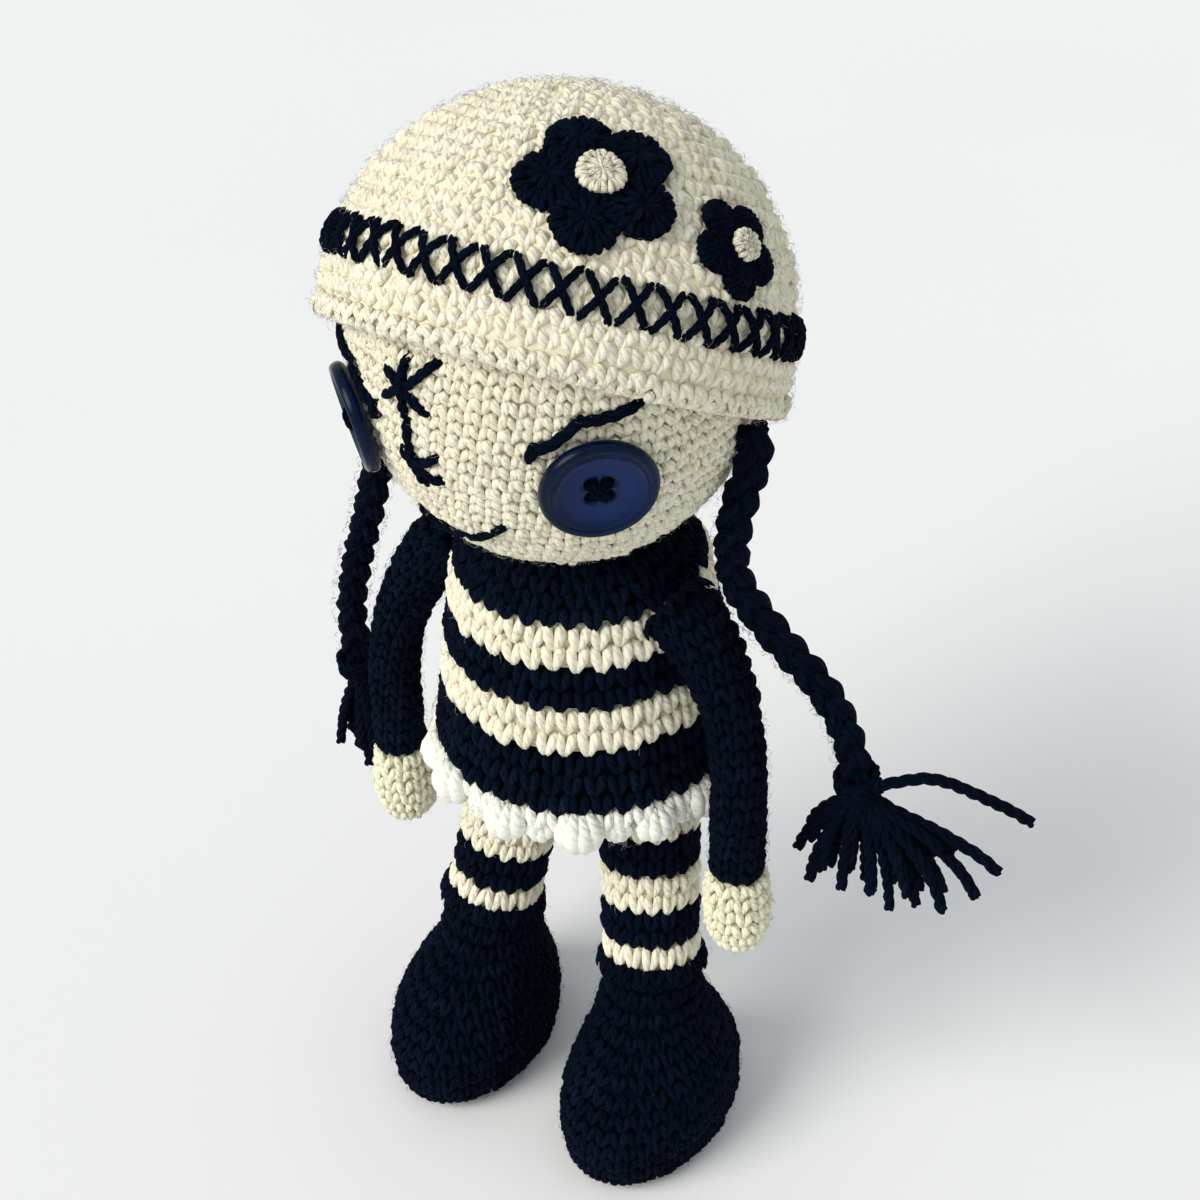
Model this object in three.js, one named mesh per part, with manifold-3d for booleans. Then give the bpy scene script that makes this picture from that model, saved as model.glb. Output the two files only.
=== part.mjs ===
// Crocheted doll with button eyes, a cap, braids, a striped dress and boots.
// Millimetres. +Z is up, the doll faces -Y and its left side is at +X.
// The soles lie in the plane z = 0.
import * as THREE from 'three';
import { mergeVertices } from 'three/addons/utils/BufferGeometryUtils.js';
import Module from 'manifold-3d';

const wasm = await Module();
wasm.setup();

// Fits
const fitGap = 0.3;
const overrun = 10;
const finest = 0.12;

// Boots and legs
const bootHeight = 57;
const bootHalfWidth = 21.8;
const bootHalfLength = 32;
const bootForward = 9.5;
const bootSpread = 4.5;
const bootWall = 3;
const bootFillGap = 0.4;
const cuffRadius = 14.6;
const cuffHeight = 5;
const ankleRadius = 13.2;
const legRadius = 12.4;
const legSwell = 0.5;
const legWall = 2.8;
const lowBandHeight = 7.5;
const legBandHeight = 10.8;
const hipHeight = 112;
const hipHalfSpacing = 18.5;
const ankleHalfSpacing = 26;
const ankleForward = 14;
const hipForward = 1;

// Torso and dress
const hemDrop = 2.2;
const torsoTopRadius = 13;
const torsoBottomInset = 6;
const yokeHeight = 11.2;
const creamOneHeight = 12.2;
const blackOneHeight = 11.4;
const creamTwoHeight = 12.4;
const blackTwoHeight = 18.4;
const hemHeight = 11.2;
const yokeTopRadius = 17;
const yokeMiddleRadius = 26.8;
const dressTopRadius = 32;
const dressHemRadius = 42;
const dressWall = 3.2;
const bandSwell = 0.6;
const bobbleRadius = 4.4;
const neckForward = 4;
const dowelRadius = 3;
const dowelLength = 52;
const dowelSink = 24;
const dowelClearance = 0.4;
const threadRadius = 0.9;
const threadForward = 8;
const threadClearance = 0.35;

// Arms
const shoulderDrop = 12.6;
const shoulderRadius = 8;
const sleeveRadius = 6.8;
const handRadius = 8.3;
const handHeight = 27;
const handReach = 53;
const handForward = 16;
const armDrop = 72;

// Head
const headRadius = 48.5;
const headBelow = 58;
const headAbove = 46;
const headWall = 3.2;
const neckHoleRadius = 9;

// Cap
const capWall = 4.6;
const capSideEase = 1.6;
const capDrop = 12.4;
const rimRadius = 3;
const borderLow = 12;
const borderHigh = 22;
const borderYarnRadius = 0.95;

// Appliqué flowers on the cap
const flowerRadius = 18;
const smallFlowerRadius = 11.5;
const flowerThickness = 3;
const flowerMiddleRadius = 5.2;
const smallFlowerMiddleRadius = 3.6;
const petalShare = 0.42;

// Face
const buttonRadius = 13.4;
const buttonThickness = 3.8;
const buttonDish = 1.4;
const buttonRimWidth = 2.8;
const buttonHoleRadius = 1.5;
const buttonHoleOffset = 2.6;
const buttonThreadRadius = 1;
const eyeDrop = 16.5;
const stitchRadius = 1;

// Braids and tassels
const braidRadius = 4.6;
const braidTopDrop = 19.5;
const braidBack = 8;
const leftBraidDrop = 102.5;
const rightBraidDrop = 113;
const leftBraidReach = 26.3;
const rightBraidReach = 22.8;
const tieRadius = 6;
const tieHeight = 7;
const tieEndLength = 40;
const tieEndRadius = 1.1;
const tasselLength = 31;
const leftTasselSpread = 21;
const rightTasselSpread = 9;
const strandRadius = 1.25;

// Counts and angles, in degrees
const capTilt = 31;
const bootTurn = -3;
const headSquareness = 2.3;
const bobbleCount = 28;
const borderToothCount = 22;
const petalCount = 5;
const strandCount = 8;
const eyeAngle = 41;
const ballSides = 28;
const ballLayers = 14;
const dressSides = 24;
const legSides = 12;
const armSides = 10;

// Colours of yarn and plastic
const cream = new THREE.Color(0.88, 0.84, 0.74);
const handCream = new THREE.Color(0.87, 0.84, 0.66);
const white = new THREE.Color(0.9, 0.9, 0.87);
const navyBlack = new THREE.Color(0.012, 0.016, 0.032);
const buttonNavy = new THREE.Color(0.02, 0.02, 0.09);
const fill = new THREE.Color(0.85, 0.85, 0.82);
const wood = new THREE.Color(0.62, 0.47, 0.3);

function yarn(colour) {
  return new THREE.MeshStandardMaterial({ color: colour, roughness: 0.95, metalness: 0 });
}

const creamYarn = yarn(cream);
const handYarn = yarn(handCream);
const whiteYarn = yarn(white);
const blackYarn = yarn(navyBlack);
const filling = yarn(fill);
const plastic = new THREE.MeshStandardMaterial({ color: buttonNavy, roughness: 0.18, metalness: 0 });
const dowelWood = new THREE.MeshStandardMaterial({ color: wood, roughness: 0.6, metalness: 0 });

const doll = new THREE.Group();

function addMesh(parent, name, geometry, material) {
  const mesh = new THREE.Mesh(geometry, material);
  mesh.name = name;
  parent.add(mesh);
  return mesh;
}

// Solids and booleans

function toSolid(geometry) {
  const bare = geometry.clone();
  bare.deleteAttribute('normal');
  bare.deleteAttribute('uv');
  const merged = mergeVertices(bare);
  return new wasm.Manifold(new wasm.Mesh({
    numProp: 3,
    vertProperties: new Float32Array(merged.attributes.position.array),
    triVerts: new Uint32Array(merged.index.array),
  }));
}

function toGeometry(solid) {
  const mesh = solid.getMesh();
  const places = [];
  for (let i = 0; i < mesh.numVert; i += 1) {
    for (let k = 0; k < 3; k += 1) {
      places.push(mesh.vertProperties[i * mesh.numProp + k]);
    }
  }
  const geometry = new THREE.BufferGeometry();
  geometry.setAttribute('position', new THREE.Float32BufferAttribute(places, 3));
  geometry.setIndex(Array.from(mesh.triVerts));
  geometry.computeVertexNormals();
  return geometry;
}

// Joins solids, then merges edges far shorter than the yarn is thick.
function joinAll(solids) {
  const joined = solids.slice(1).reduce((sum, solid) => sum.add(solid), solids[0]);
  return joined.asOriginal().simplify(finest);
}

function signedVolume(geometry) {
  const position = geometry.attributes.position;
  const corners = [new THREE.Vector3(), new THREE.Vector3(), new THREE.Vector3()];
  let sum = 0;
  for (let i = 0; i < geometry.index.count; i += 3) {
    corners.forEach((corner, k) => corner.fromBufferAttribute(position, geometry.index.getX(i + k)));
    sum += corners[0].dot(corners[1].cross(corners[2])) / 6;
  }
  return sum;
}

function closeEnd(places, faces, ring, first, isFirst) {
  const middle = new THREE.Vector3();
  ring.forEach((place) => middle.addScaledVector(place, 1 / ring.length));
  const tip = places.length;
  places.push(middle);
  for (let i = 0; i < ring.length; i += 1) {
    const next = (i + 1) % ring.length;
    faces.push(isFirst ? [tip, first + next, first + i] : [tip, first + i, first + next]);
  }
}

// A closed mesh through rings of equally many points. With loop the last ring
// meets the first one; otherwise a fan closes each end.
function ringMesh(rings, loop = false) {
  const count = rings[0].length;
  const places = rings.flat();
  const faces = [];
  const spans = loop ? rings.length : rings.length - 1;
  for (let j = 0; j < spans; j += 1) {
    const low = j * count;
    const high = ((j + 1) % rings.length) * count;
    for (let i = 0; i < count; i += 1) {
      const next = (i + 1) % count;
      faces.push([low + i, low + next, high + next]);
      faces.push([low + i, high + next, high + i]);
    }
  }
  if (!loop) {
    closeEnd(places, faces, rings[0], 0, true);
    closeEnd(places, faces, rings[rings.length - 1], (rings.length - 1) * count, false);
  }
  const geometry = new THREE.BufferGeometry();
  geometry.setAttribute('position', new THREE.Float32BufferAttribute(places.flatMap((p) => p.toArray()), 3));
  geometry.setIndex(faces.flat());
  if (signedVolume(geometry) < 0) {
    geometry.setIndex(faces.flatMap(([a, b, c]) => [a, c, b]));
  }
  geometry.computeVertexNormals();
  return geometry;
}

// A ring of points round a centre, in the plane of two directions. lead moves the
// first point round the ring.
function ringAround(centre, across, along, halfAcross, halfAlong, count, lead = 0) {
  return Array.from({ length: count }, (unused, i) => {
    const turn = (2 * Math.PI * i) / count + lead;
    return centre.clone()
      .addScaledVector(across, halfAcross * Math.cos(turn))
      .addScaledVector(along, halfAlong * Math.sin(turn));
  });
}

const sideways = new THREE.Vector3(1, 0, 0);
const backward = new THREE.Vector3(0, 1, 0);
const upward = new THREE.Vector3(0, 0, 1);

function levelRing(centre, halfX, halfY, count) {
  return ringAround(centre, sideways, backward, halfX, halfY, count);
}

// A round limb along a curve. radiusAt gives its radius from the share of the way.
function limb(curve, radiusAt, sides, steps, isClosed = false) {
  const frames = curve.computeFrenetFrames(steps, isClosed);
  const rings = [];
  for (let j = 0; j < (isClosed ? steps : steps + 1); j += 1) {
    const share = j / steps;
    const radius = radiusAt(share);
    const place = curve.getPointAt(share);
    rings.push(ringAround(place, frames.normals[j], frames.binormals[j], radius, radius, sides));
  }
  return ringMesh(rings, isClosed);
}

// A radius that is full along a limb and rounds off towards both ends.
function roundedEnds(radius, endShare, tipShare) {
  return (share) => {
    const fall = Math.max(0, 1 - Math.min(share, 1 - share) / endShare);
    return radius * (tipShare + (1 - tipShare) * Math.sqrt(1 - fall * fall));
  };
}

function curveThrough(places, isClosed = false) {
  return new THREE.CatmullRomCurve3(places, isClosed, 'centripetal');
}

// A round rod or cutter from a place along a direction.
function rod(radius, from, direction, length, sides) {
  const geometry = new THREE.CylinderGeometry(radius, radius, length, sides);
  geometry.translate(0, length / 2, 0);
  geometry.applyQuaternion(new THREE.Quaternion().setFromUnitVectors(backward, direction));
  geometry.translate(from.x, from.y, from.z);
  return geometry;
}

// The dress starts at the hips and its bands stack up to the neck, from which the arms hang.
const hemBottom = hipHeight - hemDrop;
const blackTwoBottom = hemBottom + hemHeight;
const creamTwoBottom = blackTwoBottom + blackTwoHeight;
const blackOneBottom = creamTwoBottom + creamTwoHeight;
const creamOneBottom = blackOneBottom + blackOneHeight;
const yokeBottom = creamOneBottom + creamOneHeight;
const torsoTop = yokeBottom + yokeHeight;
const shoulderHeight = torsoTop - shoulderDrop;
const wristHeight = shoulderHeight - armDrop;

// Head and cap share one outline: round above the middle, fuller below it.
// Their places are counted from the middle of the head.

const headCentre = new THREE.Vector3(0, -neckForward, torsoTop + fitGap + headBelow);
const headGroup = new THREE.Group();
headGroup.position.copy(headCentre);
doll.add(headGroup);

const headSurface = { radius: headRadius, below: headBelow, above: headAbove };

function surfaceAround(surface, side, bottom, top) {
  return { radius: surface.radius + side, below: surface.below + bottom, above: surface.above + top };
}

function ballRadius(surface, height) {
  const share = height < 0 ? -height / surface.below : height / surface.above;
  const power = height < 0 ? headSquareness : 2;
  return surface.radius * Math.max(0, 1 - share ** power) ** (1 / power);
}

function ballMesh(surface, sides, layers) {
  const outline = [];
  for (let j = 0; j <= layers; j += 1) {
    const turn = Math.PI * (j / layers - 0.5);
    const height = Math.sin(turn) * (turn < 0 ? surface.below : surface.above);
    const isTip = j === 0 || j === layers;
    outline.push(new THREE.Vector2(isTip ? 0 : ballRadius(surface, height), height));
  }
  const geometry = new THREE.LatheGeometry(outline, sides);
  geometry.rotateX(Math.PI / 2);
  return geometry;
}

// Level direction at an angle from the front, positive towards the doll's left.
function facing(degrees) {
  const turn = THREE.MathUtils.degToRad(degrees);
  return new THREE.Vector3(Math.sin(turn), -Math.cos(turn), 0);
}

function onBall(surface, degrees, height) {
  return facing(degrees).multiplyScalar(ballRadius(surface, height)).setZ(height);
}

function ballNormal(surface, degrees, height) {
  const step = surface.radius / 100;
  const climb = onBall(surface, degrees, height + step).sub(onBall(surface, degrees, height - step));
  return climb.cross(facing(degrees + 90)).normalize().negate();
}

function offBall(surface, degrees, height, proud) {
  return onBall(surface, degrees, height).addScaledVector(ballNormal(surface, degrees, height), proud);
}

const capTurn = THREE.MathUtils.degToRad(capTilt);
const capAxis = new THREE.Vector3(0, Math.sin(capTurn), Math.cos(capTurn));
const capPlane = -capDrop * capAxis.z;
const capInner = surfaceAround(headSurface, capSideEase, capSideEase, fitGap);
const capOuter = surfaceAround(headSurface, capSideEase + capWall, capSideEase + capWall, fitGap + capWall);
const capMiddle = surfaceAround(headSurface, capSideEase + capWall / 2, capSideEase + capWall / 2,
  fitGap + capWall / 2);

// The height at which a surface meets a plane parallel to the cap's rim.
function heightAboveRim(surface, degrees, lift) {
  let low = -surface.below;
  let high = surface.above;
  for (let i = 0; i < 40; i += 1) {
    const middle = (low + high) / 2;
    if (onBall(surface, degrees, middle).dot(capAxis) < capPlane + lift) {
      low = middle;
    } else {
      high = middle;
    }
  }
  return low;
}

function aboveRim(surface, degrees, lift, proud) {
  return offBall(surface, degrees, heightAboveRim(surface, degrees, lift), proud);
}

function addHead() {
  const inside = surfaceAround(headSurface, -headWall, -headWall, -headWall);
  const fillSurface = surfaceAround(inside, -fitGap, -fitGap, -fitGap);
  const bottom = new THREE.Vector3(0, 0, -headBelow - overrun);
  const hole = toSolid(rod(neckHoleRadius, bottom, upward, overrun + headWall * 2, dressSides));
  const shell = toSolid(ballMesh(headSurface, ballSides, ballLayers))
    .subtract(toSolid(ballMesh(inside, ballSides, ballLayers)))
    .subtract(hole);
  addMesh(headGroup, 'head_shell', toGeometry(shell), creamYarn);
  const dowelTop = dowelLength - dowelSink - fitGap + dowelClearance;
  const bore = rod(dowelRadius + dowelClearance, bottom, upward, overrun + dowelTop, armSides);
  const stuffing = toSolid(ballMesh(fillSurface, ballSides / 2, ballLayers)).subtract(toSolid(bore));
  addMesh(headGroup, 'head_stuffing', toGeometry(stuffing), filling);
}

function addCap() {
  const size = capOuter.radius * 3;
  const keep = new THREE.BoxGeometry(size, size, size);
  keep.translate(0, 0, size / 2);
  keep.rotateX(-capTurn);
  const onPlane = capAxis.clone().multiplyScalar(capPlane);
  keep.translate(onPlane.x, onPlane.y, onPlane.z);
  const dome = toSolid(ballMesh(capOuter, ballSides, ballLayers)).intersect(toSolid(keep));
  const rimPlaces = Array.from({ length: ballSides }, (unused, i) => (
    aboveRim(capMiddle, (360 * i) / ballSides, rimRadius / 2, 0)));
  const rim = limb(curveThrough(rimPlaces, true), () => rimRadius, 7, ballSides, true);
  const cap = dome.add(toSolid(rim)).subtract(toSolid(ballMesh(capInner, ballSides, ballLayers)));
  addMesh(headGroup, 'cap', toGeometry(cap), creamYarn);
}

// A border of crosses: two zigzag yarns that cross between two heights above the rim.
function addCapBorder() {
  const proud = borderYarnRadius + fitGap * 2;
  const zigzag = (phase) => {
    const places = Array.from({ length: borderToothCount * 2 }, (unused, i) => {
      const isHigh = (i + phase) % 2 === 1;
      return aboveRim(capOuter, (180 * i) / borderToothCount, isHigh ? borderHigh : borderLow, proud);
    });
    const rings = places.map((place, i) => {
      const before = places[(i + places.length - 1) % places.length];
      const after = places[(i + 1) % places.length];
      const heading = after.clone().sub(before).normalize();
      const out = place.clone().normalize();
      const across = heading.clone().cross(out).normalize();
      return ringAround(place, across, out, borderYarnRadius, borderYarnRadius, 4);
    });
    return toSolid(ringMesh(rings, true));
  };
  addMesh(headGroup, 'cap_cross_stitches', toGeometry(joinAll([zigzag(0), zigzag(1)])), blackYarn);
}

// A round dab of crochet on the cap. thick is how far it stands off.
function dab(centre, halfSize, thick) {
  const normal = centre.clone().normalize();
  const geometry = new THREE.SphereGeometry(1, 10, 6);
  geometry.scale(halfSize, thick, halfSize);
  geometry.applyQuaternion(new THREE.Quaternion().setFromUnitVectors(backward, normal));
  geometry.translate(centre.x, centre.y, centre.z);
  return toSolid(geometry);
}

function pushOnto(surface, place) {
  const share = Math.hypot(place.x / surface.radius, place.y / surface.radius, place.z / surface.above);
  return place.clone().multiplyScalar(1 / share);
}

function addFlower(name, degrees, heightShare, radius, middleRadius) {
  const centre = onBall(capOuter, degrees, heightShare * capOuter.above);
  const normal = centre.clone().normalize();
  const across = facing(degrees + 90);
  const along = normal.clone().cross(across).normalize();
  const petalRadius = radius * petalShare;
  const reach = radius - petalRadius;
  const parts = [dab(centre, petalRadius, flowerThickness)];
  for (let i = 0; i < petalCount; i += 1) {
    const turn = (2 * Math.PI * i) / petalCount + Math.PI / 2;
    const place = centre.clone()
      .addScaledVector(across, reach * Math.cos(turn))
      .addScaledVector(along, reach * Math.sin(turn));
    parts.push(dab(pushOnto(capOuter, place), petalRadius, flowerThickness));
  }
  const seat = surfaceAround(capOuter, fitGap, fitGap, fitGap);
  const flower = joinAll(parts).subtract(toSolid(ballMesh(seat, ballSides, ballLayers)));
  addMesh(headGroup, name, toGeometry(flower), blackYarn);
  const top = surfaceAround(capOuter, flowerThickness, flowerThickness, flowerThickness);
  const middleSeat = surfaceAround(top, fitGap, fitGap, fitGap);
  const middle = dab(pushOnto(top, centre), middleRadius, flowerThickness)
    .subtract(toSolid(ballMesh(middleSeat, ballSides * 2, ballLayers * 2)));
  addMesh(headGroup, `${name}_middle`, toGeometry(middle), creamYarn);
}

// Eye buttons touch the ball at their middle.

function buttonFrame(side) {
  const normal = ballNormal(headSurface, side * eyeAngle, -eyeDrop);
  const level = facing(side * eyeAngle + 90);
  const frame = new THREE.Group();
  frame.position.copy(offBall(headSurface, side * eyeAngle, -eyeDrop, fitGap));
  frame.quaternion.setFromRotationMatrix(
    new THREE.Matrix4().makeBasis(level, normal.clone().cross(level), normal));
  headGroup.add(frame);
  return frame;
}

function buttonHoles() {
  return [0, 1, 2, 3].map((i) => {
    const turn = (Math.PI / 2) * i + Math.PI / 4;
    return new THREE.Vector3(buttonHoleOffset * Math.cos(turn), buttonHoleOffset * Math.sin(turn), 0);
  });
}

function buttonOutline() {
  const bevel = buttonThickness / 4;
  const rimInner = buttonRadius - buttonRimWidth;
  const dishHeight = buttonThickness - buttonDish;
  return [
    new THREE.Vector2(0, 0),
    new THREE.Vector2(buttonRadius - 2 * bevel, 0),
    new THREE.Vector2(buttonRadius, bevel),
    new THREE.Vector2(buttonRadius, buttonThickness - bevel),
    new THREE.Vector2(buttonRadius - bevel, buttonThickness),
    new THREE.Vector2(rimInner + bevel / 2, buttonThickness),
    new THREE.Vector2(rimInner - bevel / 2, dishHeight),
    new THREE.Vector2(0, dishHeight),
  ];
}

function addButton(side, sideName) {
  const frame = buttonFrame(side);
  const disc = new THREE.LatheGeometry(buttonOutline(), 24);
  disc.rotateX(Math.PI / 2);
  const below = new THREE.Vector3(0, 0, -overrun);
  const holes = buttonHoles().map((place) => (
    toSolid(rod(buttonHoleRadius, place.clone().add(below), upward, overrun * 2, 8))));
  addMesh(frame, `eye_button_${sideName}`, toGeometry(toSolid(disc).subtract(joinAll(holes))), plastic);
  const crossHeight = buttonThickness - buttonDish + fitGap;
  const posts = buttonHoles().map((place) => (
    toSolid(rod(buttonThreadRadius * 0.97, place, upward, crossHeight + buttonThreadRadius * 0.7, 7))));
  const reach = buttonHoleOffset + buttonThreadRadius / 2;
  const bars = [1, -1].map((slope, layer) => {
    const direction = new THREE.Vector3(1, slope, 0).normalize();
    const from = direction.clone().multiplyScalar(-reach);
    from.z = crossHeight + buttonThreadRadius * (1 + 0.4 * layer);
    return toSolid(rod(buttonThreadRadius * (1 + 0.05 * layer), from, direction, reach * 2, 8));
  });
  addMesh(frame, `button_thread_${sideName}`, toGeometry(joinAll([...posts, ...bars])), blackYarn);
}

// Embroidery. Each stitch runs over places on the head given as angle and height,
// the height as a share of the head below its middle.

function stitch(places, radius = stitchRadius, sides = 5, stepsEach = 2) {
  const proud = radius + fitGap;
  const path = places.map(([degrees, heightShare]) => (
    offBall(headSurface, degrees, heightShare * headBelow, proud)));
  const steps = (places.length - 1) * stepsEach;
  return toSolid(limb(curveThrough(path), roundedEnds(radius, 0.5 / steps, 0.6), sides, steps));
}

function addFace() {
  const browShares = [[24, -0.15], [26, -0.09], [31, -0.06], [38, 0.01], [47, 0.02], [53, 0.04]];
  const mouthShares = [[-23, -0.6], [-16, -0.65], [-7, -0.67], [3, -0.63], [15, -0.51]];
  addMesh(headGroup, 'brow_stitch_left', toGeometry(stitch(browShares)), blackYarn);
  const mirroredShares = browShares.map(([degrees, share]) => [-degrees, share]).reverse();
  addMesh(headGroup, 'brow_stitch_right', toGeometry(stitch(mirroredShares)), blackYarn);
  addMesh(headGroup, 'mouth_stitch', toGeometry(stitch(mouthShares)), blackYarn);
  const scarShares = [
    [[-10, 0.18], [-11, -0.08], [-11, -0.26], [-9, -0.41]],
    [[1, 0.2], [-9, 0.07], [-19, -0.03]],
    [[-18, 0.11], [-11, 0.05], [-3, -0.04]],
    [[-16, -0.24], [-10, -0.28], [-2, -0.22]],
    [[-14, -0.28], [-8, -0.31], [-2, -0.35]],
  ];
  const scar = joinAll(scarShares.map((places) => stitch(places)));
  addMesh(headGroup, 'scar_stitch', toGeometry(scar), blackYarn);
}

// Torso and dress

// The neck stands a little forward of the dress.
function dressRing(height, inset, swell = 0) {
  const yokeShare = Math.max(0, (height - yokeBottom) / yokeHeight);
  const skirtShare = Math.max(0, (yokeBottom - height) / (yokeBottom - hemBottom));
  const yokeRadius = new THREE.QuadraticBezierCurve(
    new THREE.Vector2(0, dressTopRadius),
    new THREE.Vector2(0.5, 2 * yokeMiddleRadius - (dressTopRadius + yokeTopRadius) / 2),
    new THREE.Vector2(1, yokeTopRadius),
  ).getPoint(yokeShare).y;
  const skirtRadius = dressTopRadius + (dressHemRadius - dressTopRadius) * skirtShare;
  const radius = (yokeShare > 0 ? yokeRadius : skirtRadius) - inset + swell;
  const centre = new THREE.Vector3(0, -neckForward * yokeShare, height);
  return levelRing(centre, radius, radius, dressSides);
}

function dressBand(bottom, top, layers = 2) {
  const outer = [];
  const inner = [];
  for (let j = 0; j <= layers; j += 1) {
    const share = j / layers;
    const height = bottom + (top - bottom) * share;
    outer.push(dressRing(height, 0, bandSwell * Math.sin(Math.PI * share)));
    inner.unshift(dressRing(height, dressWall));
  }
  return ringMesh([...outer, ...inner], true);
}

// The thread through both shoulders runs in one straight bore.
function shoulderBore() {
  const from = new THREE.Vector3(-dressHemRadius, -threadForward, shoulderHeight);
  return toSolid(rod(threadRadius + threadClearance, from, sideways, dressHemRadius * 2, 8));
}

function addDress() {
  const bands = [
    ['dress_yoke', yokeBottom, torsoTop - fitGap, blackYarn, 4],
    ['dress_cream_upper', creamOneBottom, yokeBottom - fitGap, creamYarn, 2],
    ['dress_black_upper', blackOneBottom, creamOneBottom - fitGap, blackYarn, 2],
    ['dress_cream_lower', creamTwoBottom, blackOneBottom - fitGap, creamYarn, 2],
    ['dress_black_lower', blackTwoBottom, creamTwoBottom - fitGap, blackYarn, 2],
  ];
  bands.forEach(([name, bottom, top, material, layers]) => {
    const band = toSolid(dressBand(bottom, top, layers)).subtract(shoulderBore());
    addMesh(doll, name, toGeometry(band), material);
  });
  const ring = toSolid(dressBand(hemBottom + bobbleRadius / 2, blackTwoBottom - fitGap, 2));
  const bobbles = Array.from({ length: bobbleCount }, (unused, i) => {
    const bobble = new THREE.SphereGeometry(bobbleRadius, 6, 4);
    bobble.rotateX(Math.PI / 2);
    const place = facing((360 * i) / bobbleCount).multiplyScalar(dressHemRadius - dressWall / 2);
    bobble.translate(place.x, place.y, hemBottom + bobbleRadius);
    return toSolid(bobble);
  });
  addMesh(doll, 'dress_hem', toGeometry(joinAll([ring, ...bobbles])), whiteYarn);
}

function addTorso() {
  const bottom = hipHeight + legRadius + legSwell + fitGap;
  const levels = [
    [bottom, dressWall + fitGap + torsoBottomInset],
    [bottom + torsoBottomInset / 2, dressWall + fitGap + torsoBottomInset / 4],
    [bottom + torsoBottomInset, dressWall + fitGap],
    [yokeBottom, dressWall + fitGap],
    [yokeBottom + yokeHeight / 2, dressWall + fitGap],
    [yokeBottom + yokeHeight * 0.8, dressWall + fitGap],
  ];
  const rings = levels.map(([height, inset]) => dressRing(height, inset));
  const top = new THREE.Vector3(0, -neckForward, torsoTop);
  rings.push(levelRing(top, torsoTopRadius, torsoTopRadius, dressSides));
  const dowelFoot = new THREE.Vector3(0, -neckForward, torsoTop - dowelSink);
  const dowelBore = toSolid(rod(
    dowelRadius + dowelClearance / 2, dowelFoot, upward, dowelSink + overrun, armSides));
  const torso = toSolid(ringMesh(rings)).subtract(dowelBore).subtract(shoulderBore());
  addMesh(doll, 'torso', toGeometry(torso), filling);
  dowelFoot.z += fitGap;
  addMesh(doll, 'neck_dowel', rod(dowelRadius, dowelFoot, upward, dowelLength - fitGap, armSides), dowelWood);
}

// Arms

const shoulderFace = dressRing(shoulderHeight - shoulderRadius * 1.5, 0, bandSwell)[0].x + fitGap;
const wristPlace = new THREE.Vector3(handReach, -handForward, wristHeight);

// Where the middle of the sleeve runs, as shares of the way from shoulder to wrist.
const sleeveShares = [
  [-0.2, 0, -0.02],
  [0.02, 0, 0.02],
  [0.26, 0.06, 0.09],
  [0.52, 0.2, 0.195],
  [0.74, 0.4, 0.31],
  [0.91, 0.64, 0.46],
  [0.99, 0.86, 0.64],
  [1, 0.97, 0.82],
  [1, 1, 0.94],
  [1, 1, 1],
];

const handShares = [[0, 0.8], [0.12, 0.9], [0.4, 1], [0.65, 0.97], [0.85, 0.74], [0.96, 0.42]];

function addArm(side, sideName) {
  const places = sleeveShares.map(([reachShare, forwardShare, dropShare]) => new THREE.Vector3(
    side * THREE.MathUtils.lerp(shoulderFace, wristPlace.x, reachShare),
    THREE.MathUtils.lerp(-threadForward, wristPlace.y, forwardShare),
    THREE.MathUtils.lerp(shoulderHeight, wristPlace.z, dropShare),
  ));
  const radiusAt = (share) => (
    THREE.MathUtils.lerp(shoulderRadius, sleeveRadius, THREE.MathUtils.smoothstep(share, 0, 0.5)));
  const sleeve = toSolid(limb(curveThrough(places), radiusAt, armSides, 16));
  const body = new THREE.BoxGeometry(shoulderFace * 2, shoulderFace * 2, shoulderFace * 2);
  body.translate(0, -threadForward, shoulderHeight);
  addMesh(doll, `sleeve_${sideName}`, toGeometry(sleeve.subtract(toSolid(body))), blackYarn);
  const rings = handShares.map(([dropShare, radiusShare]) => levelRing(
    new THREE.Vector3(side * wristPlace.x, wristPlace.y, wristPlace.z - fitGap - handHeight * dropShare),
    handRadius * radiusShare,
    handRadius * radiusShare,
    armSides,
  ));
  addMesh(doll, `hand_${sideName}`, ringMesh(rings), handYarn);
}

function addShoulderThread() {
  const length = 2 * (shoulderFace - fitGap);
  const from = new THREE.Vector3(-length / 2, -threadForward, shoulderHeight);
  addMesh(doll, 'shoulder_thread', rod(threadRadius, from, sideways, length, 8), blackYarn);
}

// Legs run from the hips to the ankles. The boots stand level with the toes turned in.

// Shares of the boot's height, half width, half length and forward reach.
const footShares = [
  [0, 0.8, 0.82, 1],
  [0.07, 0.95, 0.95, 1],
  [0.2, 1, 1, 1],
  [0.35, 0.99, 0.97, 0.97],
  [0.49, 0.9, 0.84, 0.84],
  [0.62, 0.76, 0.65, 0.56],
  [0.74, 0.66, 0.5, 0.26],
];
const domeShares = [0.3, 0.55, 0.78, 0.93];

// The rolled cuff, from its lower edge up, as shares of its height.
const cuffLowShare = 1.3;
const cuffShares = [0.6, 0.2];

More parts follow.
